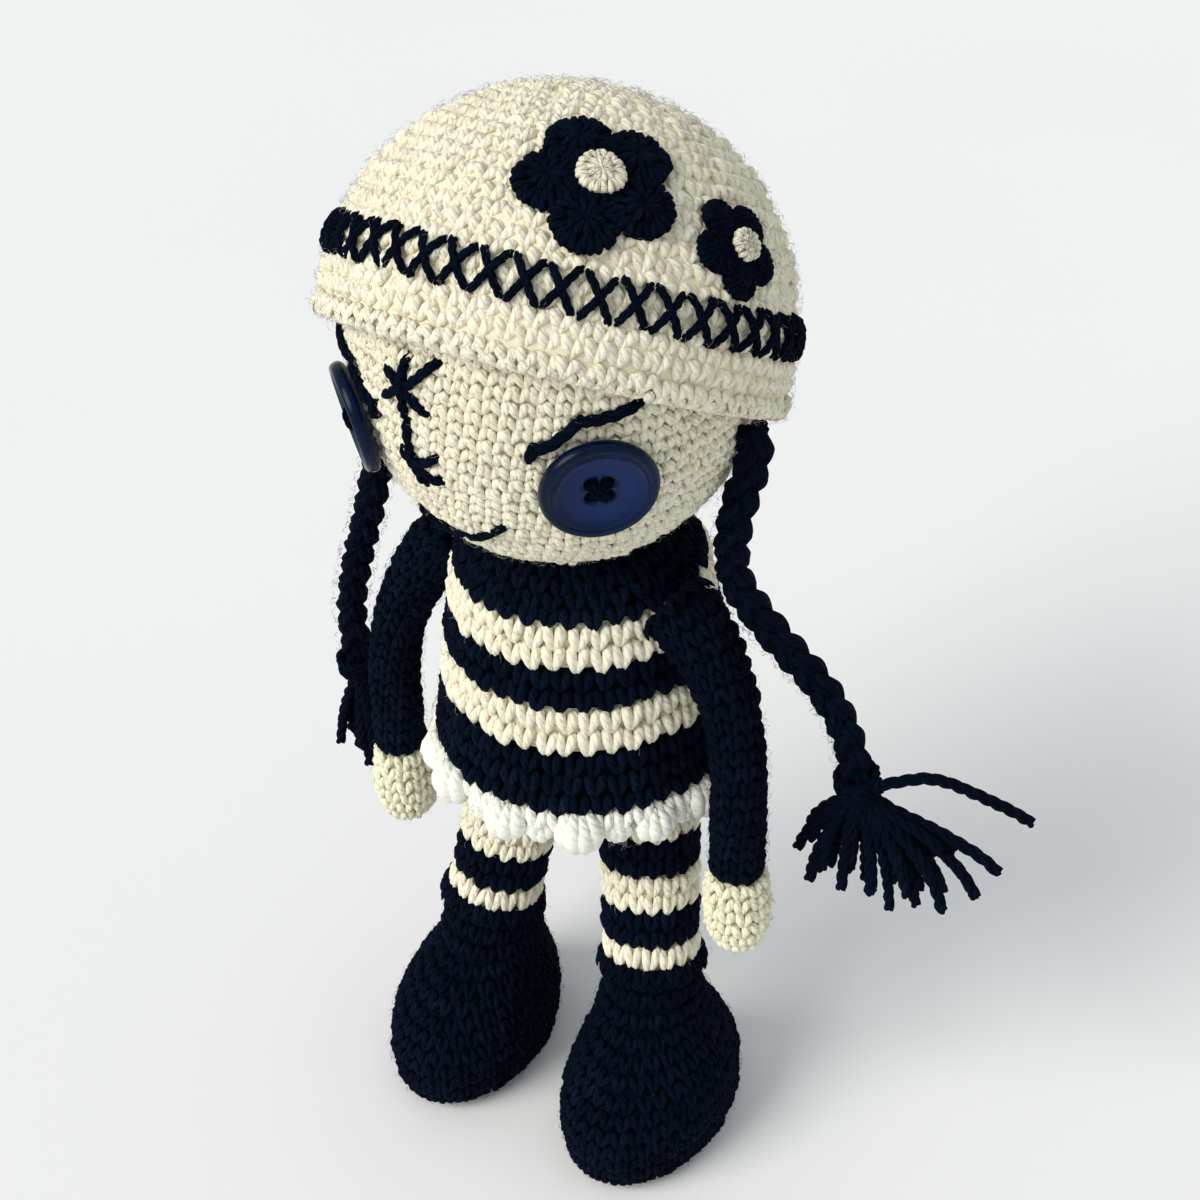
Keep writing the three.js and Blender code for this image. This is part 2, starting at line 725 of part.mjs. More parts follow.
function addLeg(side, sideName) {
  const hip = new THREE.Vector3(side * hipHalfSpacing, -hipForward, hipHeight);
  const ankle = new THREE.Vector3(side * ankleHalfSpacing, -hipForward - ankleForward, bootHeight);
  const down = ankle.clone().sub(hip).normalize();
  const legLength = hip.distanceTo(ankle);
  const across = sideways.clone().addScaledVector(down, -sideways.dot(down)).normalize();
  const along = across.clone().cross(down);
  const toe = facing(side * bootTurn);
  const bore = legRadius - legWall;
  const fillRadius = bore - fitGap;

  const legRing = (distance, radius) => (
    ringAround(hip.clone().addScaledVector(down, distance), across, along, radius, radius, legSides));

  // Rings of the round top of the leg, from its side up to its tip.
  const domeRings = (radius) => domeShares.map((share) => (
    legRing(-radius * share, radius * Math.sqrt(1 - share * share))));

  const footRings = (inset) => footShares.map(([heightShare, widthShare, lengthShare, forwardShare]) => {
    const centre = ankle.clone().addScaledVector(toe, bootForward * forwardShare);
    centre.x += side * bootSpread * forwardShare;
    centre.z = inset + heightShare * (bootHeight - 2.5 * inset);
    return ringAround(
      centre,
      facing(side * bootTurn + 90),
      toe.clone().negate(),
      bootHalfWidth * widthShare - inset,
      bootHalfLength * lengthShare - inset,
      legSides,
      -THREE.MathUtils.degToRad(side * bootTurn),
    );
  });

  const boot = [
    ...footRings(0),
    legRing(legLength + cuffHeight * cuffLowShare, ankleRadius),
    legRing(legLength + cuffHeight, ankleRadius),
    ...cuffShares.map((share) => legRing(legLength + cuffHeight * share, cuffRadius)),
    legRing(legLength, ankleRadius),
    legRing(legLength, bore),
    legRing(legLength + cuffHeight, bore),
    ...footRings(bootWall).reverse(),
  ];
  addMesh(doll, `boot_${sideName}`, ringMesh(boot), blackYarn);

  const bands = [
    ['cream_low', lowBandHeight, creamYarn],
    ['black_low', legBandHeight, blackYarn],
    ['cream_high', legBandHeight, creamYarn],
    ['black_high', legBandHeight, blackYarn],
  ];
  let bottom = legLength - fitGap;
  bands.forEach(([name, height, material]) => {
    const top = bottom - height + fitGap;
    const rings = [
      legRing(bottom, legRadius),
      legRing((bottom + top) / 2, legRadius + legSwell),
      legRing(top, legRadius),
      legRing(top, bore),
      legRing(bottom, bore),
    ];
    addMesh(doll, `leg_${sideName}_${name}`, ringMesh(rings, true), material);
    bottom = top - fitGap;
  });

  const top = [
    ...domeRings(bore).reverse(),
    legRing(0, bore),
    legRing(bottom, bore),
    legRing(bottom, legRadius),
    legRing(bottom / 2, legRadius + legSwell),
    legRing(0, legRadius + legSwell),
    ...domeRings(legRadius + legSwell),
  ];
  addMesh(doll, `leg_${sideName}_top`, ringMesh(top), creamYarn);

  const stuffing = [
    ...footRings(bootWall + bootFillGap),
    legRing(legLength + cuffHeight, fillRadius),
    legRing(0, fillRadius),
    ...domeRings(fillRadius),
  ];
  addMesh(doll, `leg_stuffing_${sideName}`, ringMesh(stuffing), filling);
}

// Braids hang from the head under the rim of the cap, each with its top against the
// head. Places are shares of its reach to the side, of the way back and of the way down.

const braidTopReach = ballRadius(headSurface, -braidTopDrop - braidRadius) + fitGap + braidRadius;

const leftBraidShares = [
  [0, 0, 0],
  [0, 0, 0.06],
  [-0.107, -0.2, 0.175],
  [-0.16, -0.3, 0.3],
  [-0.137, -0.1, 0.4],
  [0.137, 0.3, 0.535],
  [0.563, 0.75, 0.68],
  [0.81, 1, 0.8],
  [0.975, 1, 0.94],
  [1, 1, 1],
];
const rightBraidShares = [
  [0, 0, 0],
  [0, 0, 0.055],
  [0.14, 0, 0.17],
  [0.3, -0.1, 0.32],
  [0.548, -0.25, 0.5],
  [0.82, -0.25, 0.66],
  [0.98, -0.25, 0.8],
  [1, -0.25, 0.93],
  [1, -0.25, 1],
];
// Outward, backward and downward shares of the loose end of the left tie.
const looseEndShares = [
  [0, 0, 0],
  [0.25, 0.1, -0.02],
  [0.52, 0.26, 0.03],
  [0.74, 0.42, 0.12],
  [0.88, 0.56, 0.28],
];

function addBraid(side, sideName, shares, reach, drop, spread, lean, hasLooseEnd) {
  const places = shares.map(([reachShare, backShare, dropShare]) => new THREE.Vector3(
    side * (braidTopReach + reach * reachShare),
    braidBack * backShare,
    -braidTopDrop - drop * dropShare,
  ));
  const curve = curveThrough(places);
  const length = curve.getLength();
  addMesh(headGroup, `braid_${sideName}`, limb(curve, roundedEnds(braidRadius, 0.05, 0.5), 8, 20), blackYarn);

  const down = curve.getTangentAt(1);
  const across = sideways.clone().addScaledVector(down, -sideways.dot(down)).normalize();
  const along = across.clone().cross(down);
  const end = curve.getPointAt(1);
  const tieMiddle = curve.getPointAt(1 - tieHeight / 2 / length);
  const tieInner = braidRadius + fitGap * 1.5;
  const tieRing = (share, radius) => ringAround(
    tieMiddle.clone().addScaledVector(down, tieHeight * share), across, along, radius, radius, armSides);
  const tie = toSolid(ringMesh([
    tieRing(-0.35, tieInner),
    tieRing(-0.35, (tieInner + tieRadius) / 2),
    tieRing(0, tieRadius),
    tieRing(0.35, (tieInner + tieRadius) / 2),
    tieRing(0.35, tieInner),
  ], true));
  const start = tieMiddle.clone().addScaledVector(across, side * (tieInner + tieRadius) / 2);
  const looseEnd = looseEndShares.map(([outShare, backShare, downShare]) => start.clone().add(
    new THREE.Vector3(side * outShare, backShare, -downShare).multiplyScalar(tieEndLength)));
  const loose = hasLooseEnd
    ? tie.add(toSolid(limb(curveThrough(looseEnd), () => tieEndRadius, 6, 10)))
    : tie;
  addMesh(headGroup, `braid_tie_${sideName}`, toGeometry(loose), blackYarn);

  const top = end.clone().addScaledVector(down, fitGap + strandRadius);
  const knot = new THREE.SphereGeometry(strandRadius * 2.2, 8, 6);
  knot.translate(top.x, top.y, top.z - strandRadius * 1.2);
  const strands = Array.from({ length: strandCount }, (unused, i) => {
    const turn = (2 * Math.PI * (i + 0.3)) / strandCount;
    const out = spread * (Math.cos(turn) + lean);
    const back = spread * Math.sin(turn) / 2;
    const fall = tasselLength * (1 - lean * 0.6 * Math.cos(turn));
    const strandPlaces = [[0.12, 0], [0.5, 0.35], [0.85, 0.72], [1, 1]].map(([spreadShare, fallShare]) => (
      new THREE.Vector3(side * out * spreadShare, back * spreadShare, -strandRadius - fall * fallShare)
        .add(top)));
    return toSolid(limb(curveThrough(strandPlaces), () => strandRadius, 4, 4));
  });
  addMesh(headGroup, `tassel_${sideName}`, toGeometry(joinAll([toSolid(knot), ...strands])), blackYarn);
}

addHead();
addCap();
addCapBorder();
addFlower('flower_large', 54, 0.86, flowerRadius, flowerMiddleRadius);
addFlower('flower_small', 88, 0.53, smallFlowerRadius, smallFlowerMiddleRadius);
addFace();
addTorso();
addDress();
addShoulderThread();
[[1, 'left'], [-1, 'right']].forEach(([side, sideName]) => {
  addButton(side, sideName);
  addArm(side, sideName);
  addLeg(side, sideName);
});
addBraid(1, 'left', leftBraidShares, leftBraidReach, leftBraidDrop, leftTasselSpread, 0.45, true);
addBraid(-1, 'right', rightBraidShares, rightBraidReach, rightBraidDrop, rightTasselSpread, 0.2, false);

// The origin lies under the middle of the bounding box, in the plane of the soles.
doll.updateMatrixWorld(true);
const bounds = new THREE.Box3().setFromObject(doll, true);
const middle = bounds.getCenter(new THREE.Vector3());
doll.position.set(-middle.x, -middle.y, -bounds.min.z);
doll.updateMatrixWorld(true);

export default doll;
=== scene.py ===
import math

import bpy
import numpy as np
from mathutils import Matrix, Vector


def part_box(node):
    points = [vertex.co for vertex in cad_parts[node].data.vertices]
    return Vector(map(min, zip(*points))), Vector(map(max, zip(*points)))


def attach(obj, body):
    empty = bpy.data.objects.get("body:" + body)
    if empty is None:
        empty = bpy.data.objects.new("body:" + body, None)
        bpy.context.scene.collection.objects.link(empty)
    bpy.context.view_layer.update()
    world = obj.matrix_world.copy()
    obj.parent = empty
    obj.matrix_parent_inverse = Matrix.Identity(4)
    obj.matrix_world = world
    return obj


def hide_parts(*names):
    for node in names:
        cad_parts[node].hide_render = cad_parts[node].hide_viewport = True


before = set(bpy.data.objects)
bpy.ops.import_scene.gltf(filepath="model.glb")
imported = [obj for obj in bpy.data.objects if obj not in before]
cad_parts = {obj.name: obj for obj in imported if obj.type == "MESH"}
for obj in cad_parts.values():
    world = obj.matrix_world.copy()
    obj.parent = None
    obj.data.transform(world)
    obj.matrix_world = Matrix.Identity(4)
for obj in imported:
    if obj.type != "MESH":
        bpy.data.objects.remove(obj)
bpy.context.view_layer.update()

# The crocheted doll's looks: every visible soft part is laid with crochet stitches, each of
# them two bent lobes of yarn. Sizes are in millimetres in the doll's own frame, whose
# middle plane is x = 0, and become metres in the part's frame when a mesh is made.

MM = 0.001
NECK_FORWARD = 4.0
low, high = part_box("neck_dowel")
SHIFT = np.array([(low[0] + high[0]) / 2 / MM, (low[1] + high[1]) / 2 / MM + NECK_FORWARD, 0.0])
rng = np.random.default_rng(11)

# Sizes shared with the solids
FIT = 0.3
BOOT_HEIGHT, BOOT_HALF_WIDTH, BOOT_HALF_LENGTH = 57.0, 21.8, 32.0
BOOT_FORWARD, BOOT_SPREAD, BOOT_TURN = 9.5, 4.5, -3.0
CUFF_RADIUS, CUFF_HEIGHT, ANKLE_RADIUS = 14.6, 5.0, 13.2
LEG_RADIUS, LEG_SWELL, LOW_BAND, LEG_BAND = 12.4, 0.5, 7.5, 10.8
HIP_HEIGHT, HIP_SPACING, ANKLE_SPACING, ANKLE_FORWARD, HIP_FORWARD = 112.0, 18.5, 26.0, 14.0, 1.0
TORSO_TOP = 186.6
YOKE, CREAM_ONE, BLACK_ONE, CREAM_TWO, BLACK_TWO, HEM = 11.2, 12.2, 11.4, 12.4, 18.4, 11.2
YOKE_TOP_RADIUS, YOKE_MIDDLE_RADIUS, DRESS_TOP_RADIUS, DRESS_HEM_RADIUS = 17.0, 26.8, 32.0, 42.0
DRESS_WALL = 3.2
SHOULDER_HEIGHT, SHOULDER_RADIUS, SLEEVE_RADIUS, THREAD_FORWARD = 174.0, 8.0, 6.8, 8.0
HAND_RADIUS, HAND_HEIGHT, HAND_REACH, HAND_FORWARD, WRIST_HEIGHT = 8.3, 27.0, 53.0, 16.0, 102.0
HEAD_RADIUS, HEAD_BELOW, HEAD_ABOVE, HEAD_POWER = 48.5, 58.0, 46.0, 2.3
CAP_WALL, CAP_EASE, CAP_DROP, CAP_TILT, RIM_RADIUS = 4.6, 1.6, 12.4, 31.0, 3.0
BORDER_LOW, BORDER_HIGH, BORDER_TEETH = 12.0, 22.0, 22
BUTTON_RADIUS, BUTTON_THICK, BUTTON_DISH, BUTTON_RIM = 13.4, 3.8, 1.4, 2.8
HOLE_RADIUS, HOLE_OFFSET = 1.5, 2.6
EYE_ANGLE, EYE_DROP = 41.0, 16.5
BRAID_RADIUS, BRAID_TOP_DROP, BRAID_BACK = 4.6, 19.5, 8.0
TIE_RADIUS, TIE_HEIGHT, TIE_END = 6.0, 7.0, 40.0
TASSEL_LENGTH = 31.0

HEAD_CENTRE = np.array([0.0, -NECK_FORWARD, TORSO_TOP + FIT + HEAD_BELOW])
HEAD = (HEAD_RADIUS, HEAD_BELOW, HEAD_ABOVE)

YOKE_BOTTOM = TORSO_TOP - YOKE
CREAM_ONE_BOTTOM = YOKE_BOTTOM - CREAM_ONE
BLACK_ONE_BOTTOM = CREAM_ONE_BOTTOM - BLACK_ONE
CREAM_TWO_BOTTOM = BLACK_ONE_BOTTOM - CREAM_TWO
BLACK_TWO_BOTTOM = CREAM_TWO_BOTTOM - BLACK_TWO
HEM_BOTTOM = BLACK_TWO_BOTTOM - HEM

# Sizes of the yarn: a stitch's width and a row's height on each part
HEAD_STITCH, HEAD_ROW = 3.9, 3.4
CAP_STITCH, CAP_ROW = 4.9, 4.2
RIM_STITCH, RIM_ROW = 4.2, 3.6
DRESS_STITCH, DRESS_ROW, YOKE_ROW = 5.5, 5.8, 5.0
LEG_STITCH, LEG_ROW = 4.7, 5.3
BOOT_STITCH, BOOT_ROW = 4.3, 4.4
SLEEVE_STITCH, SLEEVE_ROW = 4.0, 4.1
HAND_STITCH, HAND_ROW = 4.4, 4.4

# How many loose fibres there are, as a share of the counts asked for
FUZZ = 3.2
# How high the lowest yarn is kept above the floor, in metres
FLOOR_GAP = 0.0002
# How much the floor is lifted to the pale backdrop for the camera alone
FLOOR_LIFT = 0.02


# Materials

def connect(tree, value, slot):
    """Sets an input to a value, or links an output to it."""
    if isinstance(value, bpy.types.NodeSocket):
        tree.links.new(value, slot)
    else:
        slot.default_value = value


def set_inputs(tree, made, inputs):
    for name, value in inputs.items():
        connect(tree, value, made.inputs[name])


def node(tree, kind, inputs=None, **values):
    made = tree.nodes.new(kind)
    for name, value in values.items():
        setattr(made, name, value)
    set_inputs(tree, made, inputs or {})
    return made


def math_node(tree, operation, *values):
    made = node(tree, "ShaderNodeMath", operation=operation)
    for slot, value in zip(made.inputs, values):
        connect(tree, value, slot)
    return made.outputs[0]


def mixed(tree, value, parts):
    """A value with a share of each part added."""
    for part, share in parts:
        value = math_node(tree, "ADD", value, math_node(tree, "MULTIPLY", part, share))
    return value


def noise(tree, scale, detail, where):
    inputs = {"Scale": scale, "Detail": detail, "Vector": where}
    return node(tree, "ShaderNodeTexNoise", inputs).outputs["Fac"]


def ramp(tree, value, stops):
    made = node(tree, "ShaderNodeValToRGB", {"Fac": value})
    elements = made.color_ramp.elements
    while len(elements) < len(stops):
        elements.new(0.5)
    for element, (at, colour) in zip(elements, stops):
        element.position = at
        element.color = (*colour, 1.0)
    return made.outputs["Color"]


def bump(tree, height, strength=1.0, distance=1.0):
    inputs = {"Strength": strength, "Distance": distance, "Height": height}
    return node(tree, "ShaderNodeBump", inputs).outputs["Normal"]


def tint_of(tree):
    return node(tree, "ShaderNodeAttribute", attribute_name="tint").outputs["Fac"]


def new_material(name):
    """A material, its node tree, its shader and its coordinates."""
    material = bpy.data.materials.new(name)
    material.use_nodes = True
    tree = material.node_tree
    return material, tree, tree.nodes["Principled BSDF"], node(tree, "ShaderNodeTexCoord").outputs


def yarn_material(name, dark, mid, light, hair_sheen, sheen, gloss, plies=4.0, turns=3.0):
    """Spun yarn: plies wind round each length, with fibres along them, patches and a soft sheen."""
    material, tree, shader, coords = new_material(name)
    uv = node(tree, "ShaderNodeSeparateXYZ", {"Vector": coords["UV"]}).outputs
    around = math_node(tree, "MULTIPLY", uv[0], plies)
    twist = math_node(tree, "ADD", around, math_node(tree, "MULTIPLY", uv[1], turns))
    ply = math_node(tree, "ABSOLUTE", math_node(tree, "SINE", math_node(tree, "MULTIPLY", twist, math.pi)))
    strands = node(tree, "ShaderNodeCombineXYZ", {"X": math_node(tree, "MULTIPLY", twist, 5.0),
                                                  "Y": math_node(tree, "MULTIPLY", uv[1], 4.0)})
    streak = noise(tree, 1.0, 3.0, strands.outputs[0])
    fibre = noise(tree, 2200.0, 3.0, coords["Object"])
    patch = noise(tree, 260.0, 2.0, coords["Object"])
    broad = noise(tree, 28.0, 2.0, coords["Object"])
    # The plies lighten the colour on their ridges and darken it in the grooves between them: painted shade,
    # beside the plies' bump.
    parts = [(fibre, 0.3), (patch, 0.35), (broad, 0.3), (streak, 0.25), (ply, 0.12)]
    value = mixed(tree, tint_of(tree), parts)
    value = math_node(tree, "SUBTRACT", value, 0.68)
    relief = mixed(tree, math_node(tree, "MULTIPLY", ply, 0.00022), [(streak, 0.00022), (fibre, 0.00016)])
    set_inputs(tree, shader, {
        "Base Color": ramp(tree, value, [(0.1, dark), (0.5, mid), (0.72, light), (1.0, hair_sheen)]),
        "Roughness": mixed(tree, 0.78, [(fibre, 0.2)]),
        "Normal": bump(tree, relief),
        "Sheen Weight": sheen,
        "Sheen Roughness": 0.5,
        "Sheen Tint": (*light, 1.0),
        "Specular IOR Level": gloss,
    })
    return material


def button_material():
    """Moulded plastic, violet in the dish and blue-black towards the rim, with fine turning marks."""
    material, tree, shader, coords = new_material("button_plastic")
    cloud = noise(tree, 190.0, 3.0, coords["Object"])
    grain = noise(tree, 1500.0, 2.0, coords["Object"])
    stops = [(0.1, (0.0001, 0.0035, 0.017)), (0.45, (0.0004, 0.008, 0.036)),
             (0.75, (0.0022, 0.016, 0.078)), (1.0, (0.005, 0.021, 0.11))]
    set_inputs(tree, shader, {
        "Base Color": ramp(tree, mixed(tree, tint_of(tree), [(cloud, 0.16)]), stops),
        "Roughness": mixed(tree, 0.14, [(grain, 0.2)]),
        "Normal": bump(tree, grain, 0.25, 0.00012),
        "Specular IOR Level": 0.12,
        "Coat Weight": 0.03,
        "Coat Roughness": 0.1,
    })
    return material


def wood_material():
    material, tree, shader, coords = new_material("dowel_wood")
    stretch = node(tree, "ShaderNodeMapping", {"Scale": (900.0, 900.0, 40.0), "Vector": coords["Object"]})
    grain = noise(tree, 1.0, 4.0, stretch.outputs["Vector"])
    stops = [(0.3, (0.42, 0.29, 0.17)), (0.6, (0.62, 0.47, 0.3)), (0.8, (0.7, 0.56, 0.38))]
    set_inputs(tree, shader, {"Base Color": ramp(tree, grain, stops), "Roughness": 0.6})
    return material


def floor_material():
    material, tree, shader, coords = new_material("floor")
    cloud = noise(tree, 3.0, 2.0, coords["Object"])
    path = node(tree, "ShaderNodeLightPath").outputs
    set_inputs(tree, shader, {
        "Base Color": ramp(tree, cloud, [(0.3, (0.885, 0.885, 0.885)), (0.7, (0.9, 0.9, 0.9))]),
        "Roughness": 0.95,
        "Specular IOR Level": 0.0,
        "Emission Color": (1.0, 1.0, 1.0, 1.0),
        "Emission Strength": math_node(tree, "MULTIPLY", path["Is Camera Ray"], FLOOR_LIFT),
    })
    return material


# Each yarn's colours from its shaded parts to its stray hairs, its sheen and its gloss. The hairs' lighter
# colour, which the loose fibres mostly take, is painted sheen.
YARNS = {
    "cream_yarn": ((0.83, 0.76, 0.57), (0.915, 0.865, 0.68), (0.925, 0.893, 0.745),
                   (0.93, 0.905, 0.79), 0.05, 0.06),
    "hand_yarn": ((0.8, 0.75, 0.5), (0.9, 0.87, 0.64), (0.92, 0.9, 0.72),
                  (0.925, 0.905, 0.77), 0.05, 0.06),
    "white_yarn": ((0.85, 0.845, 0.73), (0.92, 0.92, 0.82), (0.93, 0.93, 0.86),
                   (0.935, 0.935, 0.89), 0.05, 0.06),
    "black_yarn": ((0.0003, 0.001, 0.0036), (0.0013, 0.0039, 0.0118), (0.0038, 0.0088, 0.022),
                   (0.045, 0.062, 0.095), 0.06, 0.04),
    "filling": ((0.7, 0.7, 0.66), (0.85, 0.85, 0.82), (0.9, 0.9, 0.88), (0.92, 0.92, 0.9), 0.2, 0.1),
}
SLOTS = {name: yarn_material(name, *looks) for name, looks in YARNS.items()}
SLOTS["button_plastic"] = button_material()
SLOTS["dowel_wood"] = wood_material()


# Meshes gathered from many small closed parts

def new_object(name, data):
    made = bpy.data.objects.new(name, data)
    bpy.context.scene.collection.objects.link(made)
    return made


class Heap:
    """Closed parts gathered for one object. Each is its points, its faces' corners one
    after the other, how many corners each face has, a UV for each corner and a tint."""

    def __init__(self):
        self.points, self.corners, self.sizes, self.uvs, self.tints = [], [], [], [], []
        self.count = 0

    def add(self, points, corners, sizes, uvs, tint):
        self.points.append(points)
        self.corners.append(corners + self.count)
        self.sizes.append(sizes)
        self.uvs.append(uvs)
        self.tints.append(np.broadcast_to(tint, len(points)))
        self.count += len(points)

    def add_skin(self, grid, closed=False, tint=0.3, uv_scale=(6, 6)):
        """A skin over rings of points. Its default tint of 0.3, darker than a stitch's 0.5, is painted
        shade for the backings and walls seen in the gaps under stitches.
        """
        corners, sizes, uvs = ring_faces(*grid.shape[:2], closed)
        self.add(grid.reshape(-1, 3), corners, sizes, uvs * uv_scale, tint)

    def add_copies(self, points, template, uvs, tints):
        """Copies of one closed part, each with its own points."""
        count, size = points.shape[:2]
        corners = template[0] + (np.arange(count) * size)[:, None]
        self.add(points.reshape(-1, 3), corners.reshape(-1), np.tile(template[1], count), uvs, tints)

    def build(self, name, slot, body, replaces=(), fill=None, floor=None):
        points = (np.concatenate(self.points) + SHIFT) * MM
        if floor is not None:
            points[:, 2] = np.maximum(points[:, 2], floor)
        corners = np.concatenate(self.corners)
        sizes = np.concatenate(self.sizes)
        mesh = bpy.data.meshes.new(name)
        mesh.vertices.add(len(points))
        mesh.vertices.foreach_set("co", points.ravel())
        mesh.loops.add(len(corners))
        mesh.loops.foreach_set("vertex_index", corners)
        mesh.polygons.add(len(sizes))
        mesh.polygons.foreach_set("loop_start", np.concatenate([[0], np.cumsum(sizes)[:-1]]))
        mesh.polygons.foreach_set("use_smooth", np.ones(len(sizes), bool))
        mesh.update(calc_edges=True)
        layer = mesh.uv_layers.new(name="UVMap")
        layer.data.foreach_set("uv", np.concatenate(self.uvs).ravel())
        tint = mesh.attributes.new("tint", "FLOAT", "POINT")
        tint.data.foreach_set("value", np.concatenate(self.tints))
        mesh.materials.append(SLOTS[slot])
        piece = new_object(name, mesh)
        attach(piece, body)
        if replaces:
            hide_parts(*replaces)
        return piece


UP = np.array([0, 0, 1.0])


def unit(vectors):
    return vectors / np.maximum(np.linalg.norm(vectors, axis=-1, keepdims=True), 1e-9)


def round_turns(count):
    """Even turns all the way round."""
    return 2 * np.pi * np.arange(count) / count


def spokes(across, along, turn):
    """Directions at turns from one direction towards another at right angles to it."""
    return across * np.cos(turn)[..., None] + along * np.sin(turn)[..., None]


def level_rings(radius, heights, around):
    """Level rings round the middle line, one for each radius and height."""
    turn = round_turns(around)
    return np.stack([radius[:, None] * np.cos(turn), radius[:, None] * np.sin(turn),
                     np.repeat(heights[:, None], around, 1)], -1)


def closed_loop(ring):
    return np.concatenate([ring, ring[:1]])


def steps_of(path):
    return np.linalg.norm(np.diff(path, axis=0), axis=1)


def runs(path):
    """How far along a path each of its points is."""
    return np.concatenate([[0], np.cumsum(steps_of(path))])


def ring_faces(rings, sides, closed=False):
    """The corners, face sizes and UVs of a skin over rings of points, with both ends
    closed unless the last ring meets the first."""
    spans = rings if closed else rings - 1
    j, i = np.meshgrid(np.arange(spans), np.arange(sides), indexing="ij")
    nxt, up = (i + 1) % sides, (j + 1) % rings
    quads = np.stack([j * sides + i, j * sides + nxt, up * sides + nxt, up * sides + i], axis=-1)
    left, right, low, high = i / sides, (i + 1) / sides, j / spans, (j + 1) / spans
    square = [np.stack(corner, -1) for corner in ((left, low), (right, low), (right, high), (left, high))]
    corners, uvs = [quads.reshape(-1)], [np.stack(square, 2).reshape(-1, 2)]
    sizes = [np.full(spans * sides, 4)]
    if not closed:
        turn = np.arange(sides) / sides
        for first, order, at in ((0, -1, 0.0), ((rings - 1) * sides, 1, 1.0)):
            corners.append((first + np.arange(sides))[::order])
            uvs.append(np.stack([turn[::order], np.full(sides, at)], -1))
            sizes.append(np.array([sides]))
    return np.concatenate(corners), np.concatenate(sizes), np.concatenate(uvs)


def through(places, count):
    """Points evenly spaced along a smooth curve through places."""
    p = np.asarray(places, float)
    p = np.concatenate([[2 * p[0] - p[1]], p, [2 * p[-1] - p[-2]]])
    gap = np.maximum(np.sqrt(steps_of(p)), 1e-6)
    knots = np.concatenate([[0], np.cumsum(gap)])
    fine = []
    for k in range(1, len(p) - 2):
        t = np.linspace(knots[k], knots[k + 1], 24, endpoint=k == len(p) - 3)[:, None]
        blend = p[k - 1:k + 3]
        for first, gaps in ((k - 1, 1), (k - 1, 2), (k, 1)):
            ends = [(knots[first + m], knots[first + m + gaps]) for m in range(len(blend) - 1)]
            blend = [(blend[m] * (end - t) + blend[m + 1] * (t - start)) / (end - start)
                     for m, (start, end) in enumerate(ends)]
        fine.append(blend[0])
    fine = np.concatenate(fine)
    run = runs(fine)
    want = np.linspace(0, run[-1], count)
    return np.stack([np.interp(want, run, fine[:, k]) for k in range(3)], -1)


def frames_along(path, first):
    """Tangents and two crossways directions that turn as little as they can along a path."""
    tangents = unit(np.gradient(path, axis=0))
    across = np.empty_like(path)
    side = np.asarray(first, float)
    for k, tangent in enumerate(tangents):
        side = unit(side - tangent * np.dot(side, tangent))
        across[k] = side
    return tangents, across, np.cross(tangents, across)


def rings_along(path, radius, first, around):
    """Rings round a path, anticlockwise as seen from beyond its end."""
    _, across, along = frames_along(path, first)
    radius = np.broadcast_to(radius, len(path))[:, None, None]
    return path[:, None] + radius * spokes(across[:, None], along[:, None], round_turns(around))


def tube(heap, path, radius, first=(0.3, 0.5, 0.8), sides=7, tint=0.5):
    """A round tube along a path, with its radius at each point."""
    uv_scale = (1, steps_of(path).sum() / 6.0)
    heap.add_skin(rings_along(path, radius, first, sides), tint=tint, uv_scale=uv_scale)


# Plied yarn: how many plies, and their radius, reach and pitch as shares of the yarn's radius
PLIES, PLY_RADIUS, PLY_REACH, PLY_PITCH, PLY_SHADE_SPREAD = 3, 0.56, 0.5, 7.5, 0.03


def yarn(heap, path, radius, tint=0.5, tip=0.5):
    """Plied yarn: tubes that wind round each other along a path, with slimmer ends."""
    _, across, along = frames_along(path, (0.31, 0.52, 0.79))
    run = runs(path)
    radii = np.full(len(path), radius * PLY_RADIUS)
    radii[[0, -1]] *= tip
    for k in range(PLIES):
        turn = 2 * np.pi * (run / (radius * PLY_PITCH) + k / PLIES)
        centre = path + radius * PLY_REACH * spokes(across, along, turn)
        tube(heap, centre, radii, sides=6, tint=tint + rng.uniform(-PLY_SHADE_SPREAD, PLY_SHADE_SPREAD))


# Surfaces that stitches lie on

